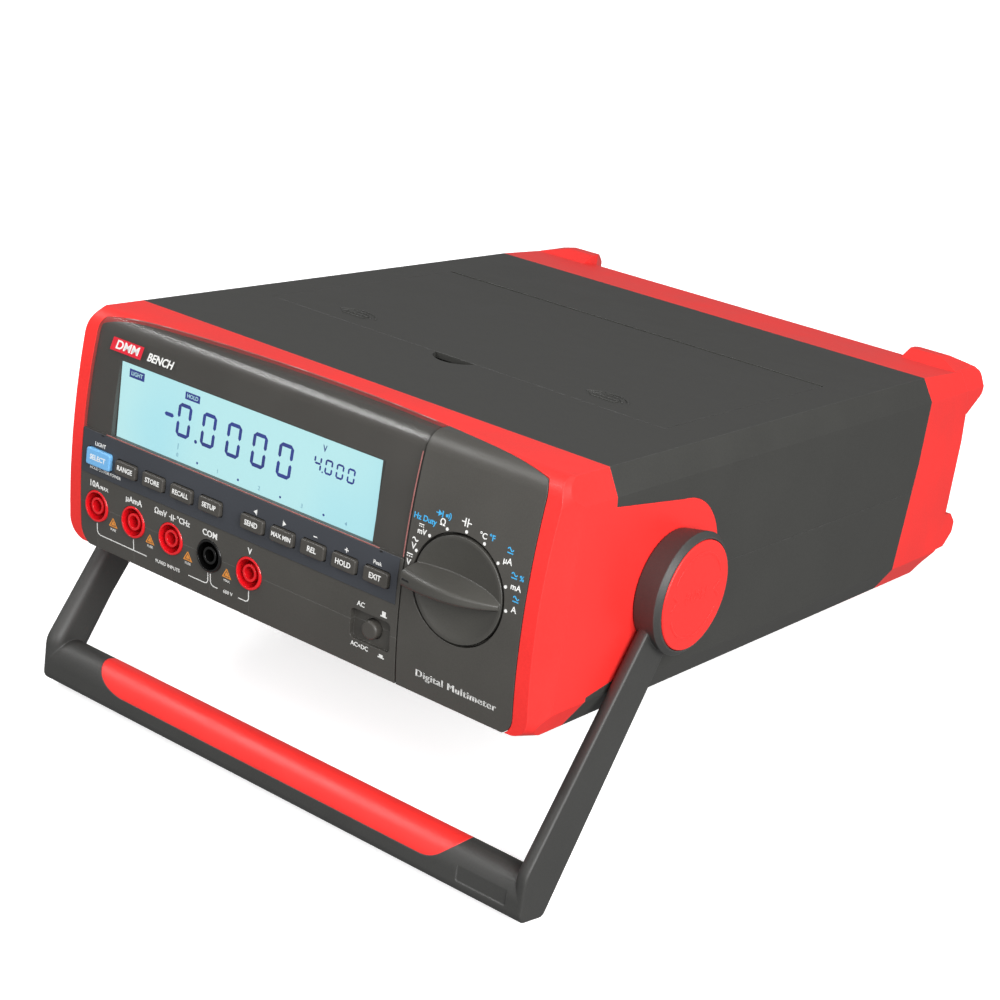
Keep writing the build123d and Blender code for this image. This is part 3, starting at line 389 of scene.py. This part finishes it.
finishes = {
    "case_grey": moulded("case_grey", CASE_GREY, 0.50, gloss=0.4),
    "bezel_red": moulded("bezel_red", RED, 0.42, grain=0.6, depth=0.004, wear=0.2, gloss=0.35),
    "panel_grey": moulded("panel_grey", PANEL_GREY, 0.44, grain=0.3, depth=0.0015, wear=0.25,
                          swell=0.008),
    "overlay_film": film("overlay_film", (0.044, 0.048, 0.057)),
    "lens_clear": clear("lens_clear", (0.085, 0.080, 0.073), 0.28, rough=0.18),
    "lcd_glass": lit("lcd_glass", (0.56, 0.96, 1.0, 1), 1.46, (0.46, 0.90, 1.0, 1)),
    "black_plastic": moulded("black_plastic", (0.016, 0.016, 0.016), 0.42, grain=0.4, depth=0.006),
    "backlight": lit("backlight", (0.7, 0.95, 1.0, 1), 0.9, (0.6, 0.9, 1.0, 1)),
    "circuit_board": board("circuit_board", (0.02, 0.16, 0.06)),
    "rubber_dark": rubber("rubber_dark", (0.02, 0.02, 0.02)),
    "silicone_grey": rubber("silicone_grey", (0.25, 0.25, 0.25)),
    "jack_red": glossy("jack_red", (0.72, 0.008, 0.014), coat=0.3),
    "jack_black": glossy("jack_black", (0.003, 0.003, 0.003)),
    "brass": metal("brass", (0.72, 0.52, 0.22)),
    "key_grey": moulded("key_grey", (0.056, 0.052, 0.046), 0.42, grain=0.3, depth=0.004, edge=0.5),
    "key_blue": moulded("key_blue", (0.16, 0.42, 0.74), 0.4, grain=0.3, depth=0.004, edge=0.5),
    "knob_grey": moulded("knob_grey", (0.054, 0.052, 0.046), 0.42, grain=0.3, depth=0.004, edge=0.6),
    "steel": metal("steel", (0.56, 0.56, 0.55)),
    "glass_fuse": clear("glass_fuse", (0.7, 0.75, 0.75), 0.45),
    "core_and_winding": moulded("core_and_winding", (0.20, 0.10, 0.045), 0.5, grain=0.8, depth=0.03),
    "battery": moulded("battery", (0.05, 0.05, 0.06), 0.4),
    "handle_grey": moulded("handle_grey", (0.038, 0.038, 0.036), 0.48, edge=0.9),
    "grip_red": moulded("grip_red", RED, 0.40, grain=0.5, depth=0.006, wear=0.2, edge=0.6),
}
WHITE_INK = ink("white_ink", (0.86, 0.86, 0.84))
BLUE_INK = ink("blue_ink", (0.06, 0.42, 0.78))
ORANGE_INK = ink("orange_ink", (0.80, 0.30, 0.05))
BADGE_RED = ink("badge_red", (0.72, 0.02, 0.04))
SEGMENT_BLUE = lit("segment_blue", (0.001, 0.042, 0.42, 1), 1.0, (0.001, 0.030, 0.32, 1), size=9)
FAINT_BLUE = lit("faint_blue", (0.16, 0.42, 0.66, 1), 1.0, (0.2, 0.48, 0.7, 1), size=9)
# Pink lines along the lens's edges: painted reflection of the red bezel.
PAINTED_RED_REFLECTION = glossy("painted_red_reflection", (0.34, 0.13, 0.12), rough=0.22)
# Pale glints along the lens's top edge: painted highlights.
PAINTED_GLINT = glossy("painted_glint", (0.42, 0.34, 0.33), rough=0.2)
# Near black, used as painted shade in the lens's corner slots and as the knob's pointer mark.
SHADE_AND_POINTER_BLACK = moulded("shade_and_pointer_black", (0.003, 0.003, 0.003), 0.6)

for part in frame["record"]["subparts"]:
    node = frame["nodes"][part["node"]]
    node.data.materials.clear()
    node.data.materials.append(finishes[part["material_slot"]])


# ------------------------------------------------------------------------------------------
# Printed and inlaid pieces
# ------------------------------------------------------------------------------------------
def tree_of(*nodes):
    """Search tree over the meshes of some CAD nodes."""
    points, polygons = [], []
    for name in nodes:
        mesh = frame["nodes"][name].data
        start = len(points)
        points += [v.co.copy() for v in mesh.vertices]
        polygons += [[start + i for i in p.vertices] for p in mesh.polygons]
    return BVHTree.FromPolygons(points, polygons)


FRONT = tree_of("input_panel", "range_panel", "keypad_overlay", "display_lens")


def on_front(x, z):
    """Depth of the front surface at a place on it."""
    start = LEVEL @ Vector((x, -40, z))
    hit = FRONT.ray_cast(start, BACK)[0]
    return (TO_LEVEL @ hit).y


class Print:
    """Thin closed pieces laid on a surface, gathered into one mesh."""

    def __init__(self, lay, proud=0.06, sunk=0.05):
        self.lay, self.proud, self.sunk = lay, proud, sunk
        self.points, self.faces = [], []

    def add(self, flat, faces):
        """flat points are (x, z, front or not) and become points in the level frame."""
        start = len(self.points)
        self.points += [self.lay(x, z, self.proud if front else -self.sunk) for x, z, front in flat]
        self.faces += [[start + i for i in face] for face in faces]

    def shape(self, corners):
        """Filled outline."""
        n = len(corners)
        flat = [(x, z, True) for x, z in corners] + [(x, z, False) for x, z in corners]
        sides = [(i, (i + 1) % n, n + (i + 1) % n, n + i) for i in range(n)]
        self.add(flat, [tuple(reversed(range(n))), tuple(range(n, 2 * n)), *sides])

    def box(self, x0, z0, x1, z1):
        self.shape([(x0, z0), (x1, z0), (x1, z1), (x0, z1)])

    def disc(self, x, z, r, steps=20):
        turns = [2 * math.pi * i / steps for i in range(steps)]
        self.shape([(x + r * math.cos(a), z + r * math.sin(a)) for a in turns])

    def arc(self, x, z, r, start, stop, step, width):
        """Ribbon along a circle, from one angle to another in whole degrees."""
        turns = [math.radians(a) for a in range(start, stop + 1, step)]
        self.line([(x + r * math.cos(a), z + r * math.sin(a)) for a in turns], width)

    def line(self, path, width):
        """Ribbon of one width along a path, with mitred corners."""
        path = [Vector(p) for p in path]
        left, right = [], []
        for i, p in enumerate(path):
            before = (p - path[i - 1]).normalized() if i else None
            after = (path[i + 1] - p).normalized() if i + 1 < len(path) else None
            along = ((before or after) + (after or before)).normalized()
            side = Vector((-along.y, along.x))
            reach = width / 2 / max(0.5, along.dot(after or before))
            left.append(p + side * reach)
            right.append(p - side * reach)
        n = len(path)
        flat = []
        for front in (True, False):
            flat += [(p.x, p.y, front) for p in left] + [(p.x, p.y, front) for p in right]
        faces = [(0, 2 * n, 3 * n, n), (n - 1, 2 * n - 1, 4 * n - 1, 3 * n - 1)]
        for i in range(n - 1):
            faces.append((i, n + i, n + i + 1, i + 1))
            faces.append((2 * n + i, 2 * n + i + 1, 3 * n + i + 1, 3 * n + i))
            faces.append((i, i + 1, 2 * n + i + 1, 2 * n + i))
            faces.append((n + i, 3 * n + i, 3 * n + i + 1, n + i + 1))
        self.add(flat, faces)

    def text(self, words, x, z, size, bold=0.018, stretch=1.0, slant=0.0, spacing=1.0):
        """Words centred on x, z, with capitals about 0.7 of size high.

        bold and spacing follow Blender's font settings, and slant is its shear.
        """
        curve = bpy.data.curves.new("words", "FONT")
        curve.body = words
        curve.size = size
        curve.align_x = "CENTER"
        curve.align_y = "CENTER"
        curve.space_character = spacing
        curve.offset = bold * size
        curve.extrude = 1.0
        curve.shear = slant
        curve.resolution_u = 4
        item = bpy.data.objects.new("words", curve)
        bpy.context.scene.collection.objects.link(item)
        view = bpy.context.evaluated_depsgraph_get()
        mesh = bpy.data.meshes.new_from_object(item.evaluated_get(view))
        flat = [(x + v.co.x * stretch, z + v.co.y, v.co.z > 0) for v in mesh.vertices]
        self.add(flat, [list(p.vertices) for p in mesh.polygons])
        bpy.data.objects.remove(item)
        bpy.data.curves.remove(curve)
        bpy.data.meshes.remove(mesh)

    def piece(self, name, material, body):
        """Make the mesh and let it ride on a body."""
        mesh = bpy.data.meshes.new(name)
        mesh.from_pydata([LEVEL @ Vector(p) for p in self.points], [], self.faces)
        mesh.validate()
        made = bpy.data.objects.new(name, mesh)
        bpy.context.scene.collection.objects.link(made)
        tidy_normals(made)
        made.data.materials.append(material)
        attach(made, body)
        return made


def tidy_normals(made):
    """Weld the mesh and turn its faces outwards."""
    work = bmesh.new()
    work.from_mesh(made.data)
    bmesh.ops.remove_doubles(work, verts=work.verts, dist=1e-7)
    bmesh.ops.recalc_face_normals(work, faces=work.faces)
    work.to_mesh(made.data)
    work.free()


def front_lay(x, z, lift):
    """Lay on the front panel's curved face."""
    return (x, on_front(x, z) - lift, z)


def facing(y):
    """Lay for a plane that faces the user at one depth."""
    return lambda x, z, lift: (x, y - lift, z)


def capacitor(plate, x, z, s=1.0):
    """Two plates with their leads."""
    for side in (-1, 1):
        plate.line([(x + side * 0.55 * s, z - 1.5 * s), (x + side * 0.55 * s, z + 1.5 * s)], 0.5 * s)
        plate.line([(x + side * 0.75 * s, z), (x + side * 2.2 * s, z)], 0.4 * s)


def dc_sign(plate, x, z, s=1.0):
    """Direct current: a line over three dashes."""
    plate.line([(x - 1.3 * s, z + 0.45 * s), (x + 1.3 * s, z + 0.45 * s)], 0.42 * s)
    for dx in (-1.0, 0.0, 1.0):
        ends = [(x + (dx + half) * s, z - 0.45 * s) for half in (-0.28, 0.28)]
        plate.line(ends, 0.38 * s)


def ac_sign(plate, x, z, s=1.0):
    """Alternating current: one wave."""
    steps = [i / 12 for i in range(13)]
    path = [(x + (2.6 * t - 1.3) * s, z + 0.55 * s * math.sin(2 * math.pi * t)) for t in steps]
    plate.line(path, 0.45 * s)


def both_sign(plate, x, z, s=1.0):
    """A wave over a line."""
    ac_sign(plate, x, z + 0.65 * s, s)
    plate.line([(x - 1.3 * s, z - 0.75 * s), (x + 1.3 * s, z - 0.75 * s)], 0.45 * s)


white = Print(front_lay)
blue = Print(front_lay)
orange = Print(front_lay)

# --- Jacks --------------------------------------------------------------------------------
JACKS = ("jack_10a", "jack_ma", "jack_ohm", "jack_com", "jack_volt")
jack_x = {name: middle(name).x for name in JACKS}
JACK_Z = middle("jack_com").z
LABEL_Z = JACK_Z + 8.9
white.text("10A", jack_x["jack_10a"] - 1.6, LABEL_Z, 3.6)
white.text("MAX", jack_x["jack_10a"] + 4.2, LABEL_Z - 0.4, 2.1)
white.text("µAmA", jack_x["jack_ma"], LABEL_Z, 3.5)
white.text("ΩmV", jack_x["jack_ohm"] - 6.0, LABEL_Z + 0.2, 3.4, stretch=0.95)
capacitor(white, jack_x["jack_ohm"] + 0.6, LABEL_Z + 0.1, 0.85)
white.text("°CHz", jack_x["jack_ohm"] + 6.6, LABEL_Z + 0.2, 3.4, stretch=0.95)
white.text("COM", jack_x["jack_com"], LABEL_Z, 3.5, bold=0.02)
white.text("V", jack_x["jack_volt"], LABEL_Z, 3.5, bold=0.02)

LINE_TOP = JACK_Z - 7.4         # the brackets start here, under the jacks
BRACKET_Z = JACK_Z - 12.3
BRACKET_W = 0.4
COM_SPLIT = 0.7                 # two brackets meet under the common jack, this far off its middle
TRIANGLE_LEFT, TRIANGLE_DROP = 1.1, 4.3


def bracket(x0, x1, gap0, gap1):
    """Bracket that ties two jacks, open for its caption between gap0 and gap1."""
    for end, gap, inward in ((x0, gap0, 1), (x1, gap1, -1)):
        white.line([(end, LINE_TOP), (end, BRACKET_Z + 1.6), (end + 0.5 * inward, BRACKET_Z + 0.5),
                    (end + 1.6 * inward, BRACKET_Z), (gap, BRACKET_Z)], BRACKET_W)


def caution(x, z, words):
    """Orange triangle over a small caption."""
    orange.line([(x, z + 1.9), (x - 2.1, z - 1.6), (x + 2.1, z - 1.6), (x + 0.02, z + 1.9)], 0.45)
    orange.shape([(x - 1.15, z - 1.05), (x + 1.15, z - 1.05), (x, z + 0.9)])
    white.text(words, x, z - 3.1, 1.5, bold=0.0)


bracket(jack_x["jack_10a"], jack_x["jack_com"] - COM_SPLIT, -72.5, -49.0)
bracket(jack_x["jack_com"] + COM_SPLIT, jack_x["jack_volt"], -33.0, -22.0)
white.line([(jack_x["jack_ma"], LINE_TOP), (jack_x["jack_ma"], BRACKET_Z + BRACKET_W / 2)], BRACKET_W)
white.text("FUSED INPUTS", -60.7, BRACKET_Z, 2.1, bold=0.01)
white.text("600 V", -27.5, BRACKET_Z, 2.1, bold=0.01)
for first, second in zip(JACKS, JACKS[1:]):
    between = (jack_x[first] + jack_x[second]) / 2 - TRIANGLE_LEFT
    caution(between, JACK_Z - TRIANGLE_DROP, "MAX" if second == "jack_volt" else "FUSE")

# --- Keys ---------------------------------------------------------------------------------
LEGENDS = {
    "select": ("SELECT", 2.9), "range": ("RANGE", 2.8), "store": ("STORE", 2.8),
    "recall": ("RECALL", 2.7), "setup": ("SETUP", 2.8), "send": ("SEND", 2.9),
    "maxmin": ("MAX MIN", 2.5), "rel": ("REL", 3.0), "hold": ("HOLD", 2.9), "exit": ("EXIT", 3.0),
}
for name, (words, size) in LEGENDS.items():
    key = middle(f"key_{name}")
    legend = Print(facing(level_box(f"key_{name}")[0].y))
    legend.text(words, key.x, key.z, size, bold=0.02, stretch=0.94)
    legend.piece(f"legend_{name}", WHITE_INK, f"key_{name}")
KEY_Z = middle("key_send").z
MARK_Z = KEY_Z + 4.9            # row of small marks over the keys
SIGN_HALF, SIGN_W = 0.9, 0.4    # plus and minus
key_x = {name: middle(f"key_{name}").x for name in LEGENDS}


def arrow(x, way):
    """Small triangle over a key that points left (-1) or right (1)."""
    white.shape([(x + 0.9 * way, MARK_Z), (x - 0.8 * way, MARK_Z - 1.1 * way),
                 (x - 0.8 * way, MARK_Z + 1.1 * way)])


white.text("LIGHT", key_x["select"] - 0.4, KEY_Z + 5.4, 2.2, bold=0.012)
white.text("HOLD 2 s FOR POWER", key_x["select"] + 3.2, KEY_Z - 4.9, 1.75, bold=0.006)
arrow(key_x["send"] + 0.4, -1)
arrow(key_x["maxmin"] - 0.1, 1)
for name in ("rel", "hold"):
    white.line([(key_x[name] - SIGN_HALF, MARK_Z), (key_x[name] + SIGN_HALF, MARK_Z)], SIGN_W)
white.line([(key_x["hold"], MARK_Z - SIGN_HALF), (key_x["hold"], MARK_Z + SIGN_HALF)], SIGN_W)
white.text("Peak", key_x["exit"] - 0.6, MARK_Z, 2.1, bold=0.012)

# --- AC/DC button -------------------------------------------------------------------------
button = middle("acdc_button")


def button_state(x, z, top):
    """Side view of the button in its panel, standing out to a height over the middle."""
    white.line([(x - 1.5, z - 0.8), (x - 0.8, z - 0.8)], 0.5)
    white.line([(x + 0.8, z - 0.8), (x + 1.5, z - 0.8)], 0.5)
    white.box(x - 0.85, z - 1.05, x + 0.85, z + top)


white.text("AC", button.x - 4.8, button.z + 8.6, 2.7)
white.text("AC+DC", button.x - 4.6, button.z - 8.2, 2.5)
button_state(button.x + 6.2, button.z + 8.4, 1.2)
button_state(button.x + 5.8, button.z - 8.2, 0.4)

# --- Range switch dial --------------------------------------------------------------------
knob = TO_LEVEL @ Vector(JOINTS["range_switch_turn"]["pos_m"])
DOTS, DOT_RING_R, DOT_R = 9, 21.6, 0.62
NAMES_X, NAMES_Z = knob.x + 0.8, knob.z + 0.6       # middle of the ring of names
WHITE_NAMES = (                                     # words, place on the ring, size
    ("V", -23.4, 2.4, 3.3), ("V", -22.2, 8.8, 3.3), ("mV", -19.6, 15.0, 2.9),
    ("Ω", -11.4, 21.0, 3.4), ("°C", 6.4, 21.9, 3.0), ("µA", 18.2, 16.6, 3.2),
    ("mA", 23.4, 8.7, 3.1), ("A", 24.0, 0.8, 3.2),
)
BLUE_NAMES = (("Hz Duty", -19.2, 19.9, 3.0), ("°F", 10.2, 22.3, 3.0), ("%", 25.2, 12.5, 2.7))
SIGNS = (                                           # sign, ink, place on the ring, scale
    (dc_sign, white, -23.3, 5.2, 1.0), (ac_sign, white, -21.9, 11.5, 1.0),
    (dc_sign, white, -20.2, 17.2, 0.85), (capacitor, white, -1.4, 24.2, 1.0),
    (both_sign, blue, 18.6, 20.4, 0.95), (both_sign, blue, 22.0, 12.5, 0.95),
    (both_sign, blue, 24.2, 4.6, 0.95),
)
THICKEN = (-0.14, 0.0, 0.14)    # the name is printed three times, side by side, to make it bold


def diode(x, z):
    blue.shape([(x - 1.3, z - 1.1), (x + 0.3, z), (x - 1.3, z + 1.1)])
    blue.line([(x + 0.5, z - 1.2), (x + 0.5, z + 1.2)], 0.45)
    blue.line([(x - 2.4, z), (x - 1.2, z)], 0.4)


def buzzer(x, z):
    """Dot with two waves of sound."""
    blue.disc(x, z, 0.55)
    for r in (1.0, 1.8):
        blue.arc(x, z, r, -50, 50, 20, 0.36)


for step in range(DOTS):
    angle = math.pi - step * math.pi / (DOTS - 1)
    white.disc(knob.x + DOT_RING_R * math.cos(angle), knob.z + DOT_RING_R * math.sin(angle), DOT_R)
for words, dx, dz, size in WHITE_NAMES:
    white.text(words, NAMES_X + dx, NAMES_Z + dz, size)
for words, dx, dz, size in BLUE_NAMES:
    blue.text(words, NAMES_X + dx, NAMES_Z + dz, size, bold=0.02)
for sign, plate, dx, dz, scale in SIGNS:
    sign(plate, NAMES_X + dx, NAMES_Z + dz, scale)
diode(NAMES_X - 12.6, NAMES_Z + 23.8)
buzzer(NAMES_X - 10.2, NAMES_Z + 23.8)
for shift in THICKEN:
    white.text("Digital Multimeter", NAMES_X + 2.5 + shift, NAMES_Z - 38.0, 3.9, bold=0.0,
               stretch=1.11, spacing=1.13)

# --- Badge above the display --------------------------------------------------------------
badge = Print(front_lay, proud=0.05)
badge.shape([(-102.3, 83.2), (-85.2, 83.2), (-84.2, 88.4), (-101.3, 88.4)])
badge.piece("badge", BADGE_RED, "case")
badge_words = Print(front_lay, proud=0.12)
badge_words.text("DMM", -93.2, 85.8, 4.9, bold=0.02, stretch=1.15, slant=0.2)
badge_words.text("BENCH", -74.8, 85.4, 4.5, bold=0.02, stretch=0.95, slant=0.3)
badge_words.piece("badge_words", WHITE_INK, "case")

white.piece("print_white", WHITE_INK, "case")
blue.piece("print_blue", BLUE_INK, "case")
orange.piece("print_orange", ORANGE_INK, "case")

# --- Liquid crystal segments --------------------------------------------------------------
glass_low = level_box("lcd_glass")[0]
LCD_X, LCD_Z = glass_low.x + 0.5, glass_low.z + 3.0       # lower left corner of the viewed area
LIT_BY = {"0": "abcdef", "4": "bcfg", "-": "g"}
LEAN = 0.055
MAIN_X, MAIN_PITCH = LCD_X + 31.4, 13.3
SMALL_X, SMALL_PITCH = LCD_X + 102.6, 5.45
SCALE_X, SCALE_Z, SCALE_PITCH = LCD_X + 33.6, LCD_Z + 2.1, 21.9
segments = Print(facing(glass_low.y), proud=0.04, sunk=0.02)
faint = Print(facing(glass_low.y), proud=0.04, sunk=0.02)


def digit(which, x, z, w, h, t):
    """Seven-segment figure with its lower left corner at x, z and strokes t wide."""
    gap = t * 0.16
    half = h / 2
    for name in LIT_BY[which]:
        if name in "agd":
            cz = {"a": z + h - t / 2, "g": z + half, "d": z + t / 2}[name]
            x0, x1 = x + gap + t * 0.35, x + w - gap - t * 0.35
            points = [(x0, cz), (x0 + t / 2, cz - t / 2), (x1 - t / 2, cz - t / 2), (x1, cz),
                      (x1 - t / 2, cz + t / 2), (x0 + t / 2, cz + t / 2)]
        else:
            cx = x + (w - t / 2 if name in "bc" else t / 2)
            low = z + (half if name in "bf" else 0) + gap + t * 0.3
            top = low + half - 2 * gap - t * 0.6
            points = [(cx, low), (cx + t / 2, low + t / 2), (cx + t / 2, top - t / 2), (cx, top),
                      (cx - t / 2, top - t / 2), (cx - t / 2, low + t / 2)]
        segments.shape([(px + LEAN * (pz - z), pz) for px, pz in points])


for index in range(5):
    digit("0", MAIN_X + MAIN_PITCH * index, LCD_Z + 9.6, 7.4, 13.6, 1.5)
digit("-", LCD_X + 23.6, LCD_Z + 10.0, 6.8, 13.4, 1.6)
segments.disc(LCD_X + 42.6, LCD_Z + 10.1, 0.75)
for index, which in enumerate("4000"):
    digit(which, SMALL_X + SMALL_PITCH * index, LCD_Z + 17.5, 3.7, 5.8, 0.78)
segments.disc(LCD_X + 107.2, LCD_Z + 17.7, 0.35)
segments.text("V", LCD_X + 107.3, LCD_Z + 26.7, 3.6, bold=0.02, stretch=0.85)
segments.box(LCD_X + 3.9, LCD_Z + 25.4, LCD_X + 12.3, LCD_Z + 28.8)
segments.box(LCD_X + 35.0, LCD_Z + 25.2, LCD_X + 42.9, LCD_Z + 28.2)
for index in range(5):
    faint.text(str(index), SCALE_X + SCALE_PITCH * index, SCALE_Z, 2.2, bold=0.0)
for index in range(4):
    segments.disc(LCD_X + 44.5 + SCALE_PITCH * index, SCALE_Z, 0.5)
faint.line([(SCALE_X, LCD_Z + 4.4), (SCALE_X, LCD_Z + 6.8)], 0.3)
segments.piece("lcd_segments", SEGMENT_BLUE, "case")
faint.piece("lcd_scale", FAINT_BLUE, "case")
reversed_words = Print(facing(glass_low.y), proud=0.07, sunk=-0.02)
reversed_words.text("LIGHT", LCD_X + 8.1, LCD_Z + 27.1, 2.3, bold=0.01)
reversed_words.text("HOLD", LCD_X + 38.95, LCD_Z + 26.7, 2.2, bold=0.01)
reversed_words.piece("lcd_reversed", finishes["lcd_glass"], "case")

# --- Edges of the clear lens: painted reflection of the red bezel around them -------------
lens_low, lens_high = level_box("display_lens")
TOP = tree_of("input_panel", "display_lens", "front_bezel")
ARC_HALF, ARC_BACK, ARC_END = 110.7, lens_high.y, 1.5     # the lens's rear edge on the top
ARC_R = (ARC_HALF ** 2 + (ARC_BACK - ARC_END) ** 2) / (2 * (ARC_BACK - ARC_END))
RIM_INSET = 0.35


def arc_y(x):
    """Depth of the lens's rear edge at a place along it."""
    return ARC_BACK - ARC_R + math.sqrt(ARC_R ** 2 - x ** 2)


def top_lay(x, y, lift):
    """Place on the top face, found by looking down on it."""
    hit = TOP.ray_cast(LEVEL @ Vector((x, y, 130)), -UP)[0]
    return (x, y, (TO_LEVEL @ hit).z + lift)


# Pink line along the lens's lower and right edges: painted reflection of the red bezel.
edge = Print(front_lay, proud=0.05)
edge.line([(-97.5, lens_low.z + 0.3), (45.5, lens_low.z + 0.3)], 0.5)
edge.line([(lens_high.x - 0.3, lens_low.z + 0.6 + 1.5 * i) for i in range(27)], 0.5)
edge.piece("lens_edge_red_reflection", PAINTED_RED_REFLECTION, "case")
# Pink line along the lens's rear edge on the top: painted reflection of the red bezel.
rim = Print(top_lay, proud=0.05)
rim.line([(x, arc_y(x) - RIM_INSET) for x in range(-100, 55, 4)], 0.55)
rim.piece("lens_rim_red_reflection", PAINTED_RED_REFLECTION, "case")
# Short pale ribbons along the lens's top edge are painted highlights.
glints = Print(top_lay, proud=0.09)
for x0, x1 in ((-97, -94), (-83, -79), (-21, -13), (30, 34), (44, 51)):
    glints.line([(x, arc_y(x) - RIM_INSET) for x in range(x0, x1 + 1)], 0.35)
glints.piece("lens_painted_glints", PAINTED_GLINT, "case")
# Black boxes at the lens's lower corners are painted shade in the slots there.
slots = Print(front_lay, proud=0.04)
for x0, x1 in ((-110.0, -98.4), (46.2, 55.6)):
    slots.box(x0, lens_low.z - 0.9, x1, lens_low.z - 0.15)
slots.piece("lens_slot_shade", SHADE_AND_POINTER_BLACK, "case")

# --- Raised marks on the lid and on the release buttons -----------------------------------
lid_low, lid_high = level_box("lid")
MARK_X, MARK_IN = 64.0, 12.0            # off the lid's middle, and in from its front edge
FRAME_X, FRAME_Y = 5.6, 1.6             # half the size of the frame in each mark
LID_LINE_W = 0.7
CAP_ARC_R = 16.5


def on_lid(x, y, lift):
    """Lay on the lid's flat top."""
    return (x, y, lid_high.z + lift)


marks = Print(on_lid, proud=0.30, sunk=0.05)
for side in (-1, 1):
    x, y = side * MARK_X, lid_low.y + MARK_IN
    marks.line([(x - FRAME_X, y - FRAME_Y), (x + FRAME_X, y - FRAME_Y), (x + FRAME_X, y + FRAME_Y),
                (x - FRAME_X, y + FRAME_Y), (x - FRAME_X, y - FRAME_Y)], LID_LINE_W)
    for r in (9.0, 11.4):
        for start, stop in ((28, 62), (70, 110), (118, 152)):
            marks.arc(x, y - 4.0, r, start, stop, 8, LID_LINE_W)
marks.piece("lid_marks", finishes["case_grey"], "lid")


def cap_lay(side):
    """Lay on a release button's round face; u runs towards the rear, v upwards."""
    low, high = level_box("hub_button_right" if side > 0 else "hub_button_left")
    face_x = high.x if side > 0 else low.x
    return lambda u, v, lift: (face_x + side * lift, PIVOT_Y + side * u, PIVOT_Z + v)


for side, body in ((-1, "left_release"), (1, "right_release")):
    ring = Print(cap_lay(side), proud=0.10, sunk=0.05)
    for start, stop in ((25, 155), (205, 335)):
        ring.arc(0, 0, CAP_ARC_R, start, stop, 10, 0.9)
    for end in (-1, 1):
        ring.line([(end * 16.0, 3.2), (end * 12.4, 0), (end * 16.0, -3.2)], 1.0)
    ring.text("PUSH", 0, 0, 6.2, bold=0.01)
    ring.piece(f"{body}_marks", finishes["bezel_red"], body)

# --- Knob pointer and the marks on the rear -----------------------------------------------
KNOB = tree_of("range_knob")


def on_knob(x, z, lift):
    """Lay on the knob, found by looking at it from the front."""
    hit = KNOB.ray_cast(LEVEL @ Vector((x, -40, z)), BACK)[0]
    return (x, (TO_LEVEL @ hit).y - lift, z)


pointer = Print(on_knob, proud=0.03, sunk=0.2)
pointer.box(knob.x - 18.4, knob.z - 0.45, knob.x - 14.6, knob.z + 0.45)
pointer.piece("knob_pointer", SHADE_AND_POINTER_BLACK, "range_switch")


def seen_from_behind(*nodes):
    """Lay on whatever faces the rear; u runs to the right for someone behind."""
    tree = tree_of(*nodes)

    def lay(u, z, lift):
        hit = tree.ray_cast(LEVEL @ Vector((-u, 400, z)), -BACK)[0]
        return (-u, (TO_LEVEL @ hit).y + lift, z)
    return lay


names = Print(seen_from_behind("rear_panel"))
for node, words in (("power_inlet", "100-240 V~  50/60 Hz"), ("rocker_housing", "POWER"),
                    ("serial_port", "RS-232"), ("usb_port", "USB")):
    low, high = level_box(node)
    names.text(words, -(low.x + high.x) / 2, low.z - 4.0, 3.2, bold=0.01)
names.piece("rear_names", WHITE_INK, "case")
rocker = middle("power_rocker")
states = Print(seen_from_behind("power_rocker"))
states.line([(-rocker.x, rocker.z + 3.2), (-rocker.x, rocker.z + 6.2)], 0.7)
states.arc(-rocker.x, rocker.z - 4.8, 1.5, 0, 360, 18, 0.6)
states.piece("rocker_marks", WHITE_INK, "power_switch")

# --- Stage --------------------------------------------------------------------------------
make_camera()
make_floor()
for light in LIGHTS:
    make_light(*light)
make_world()
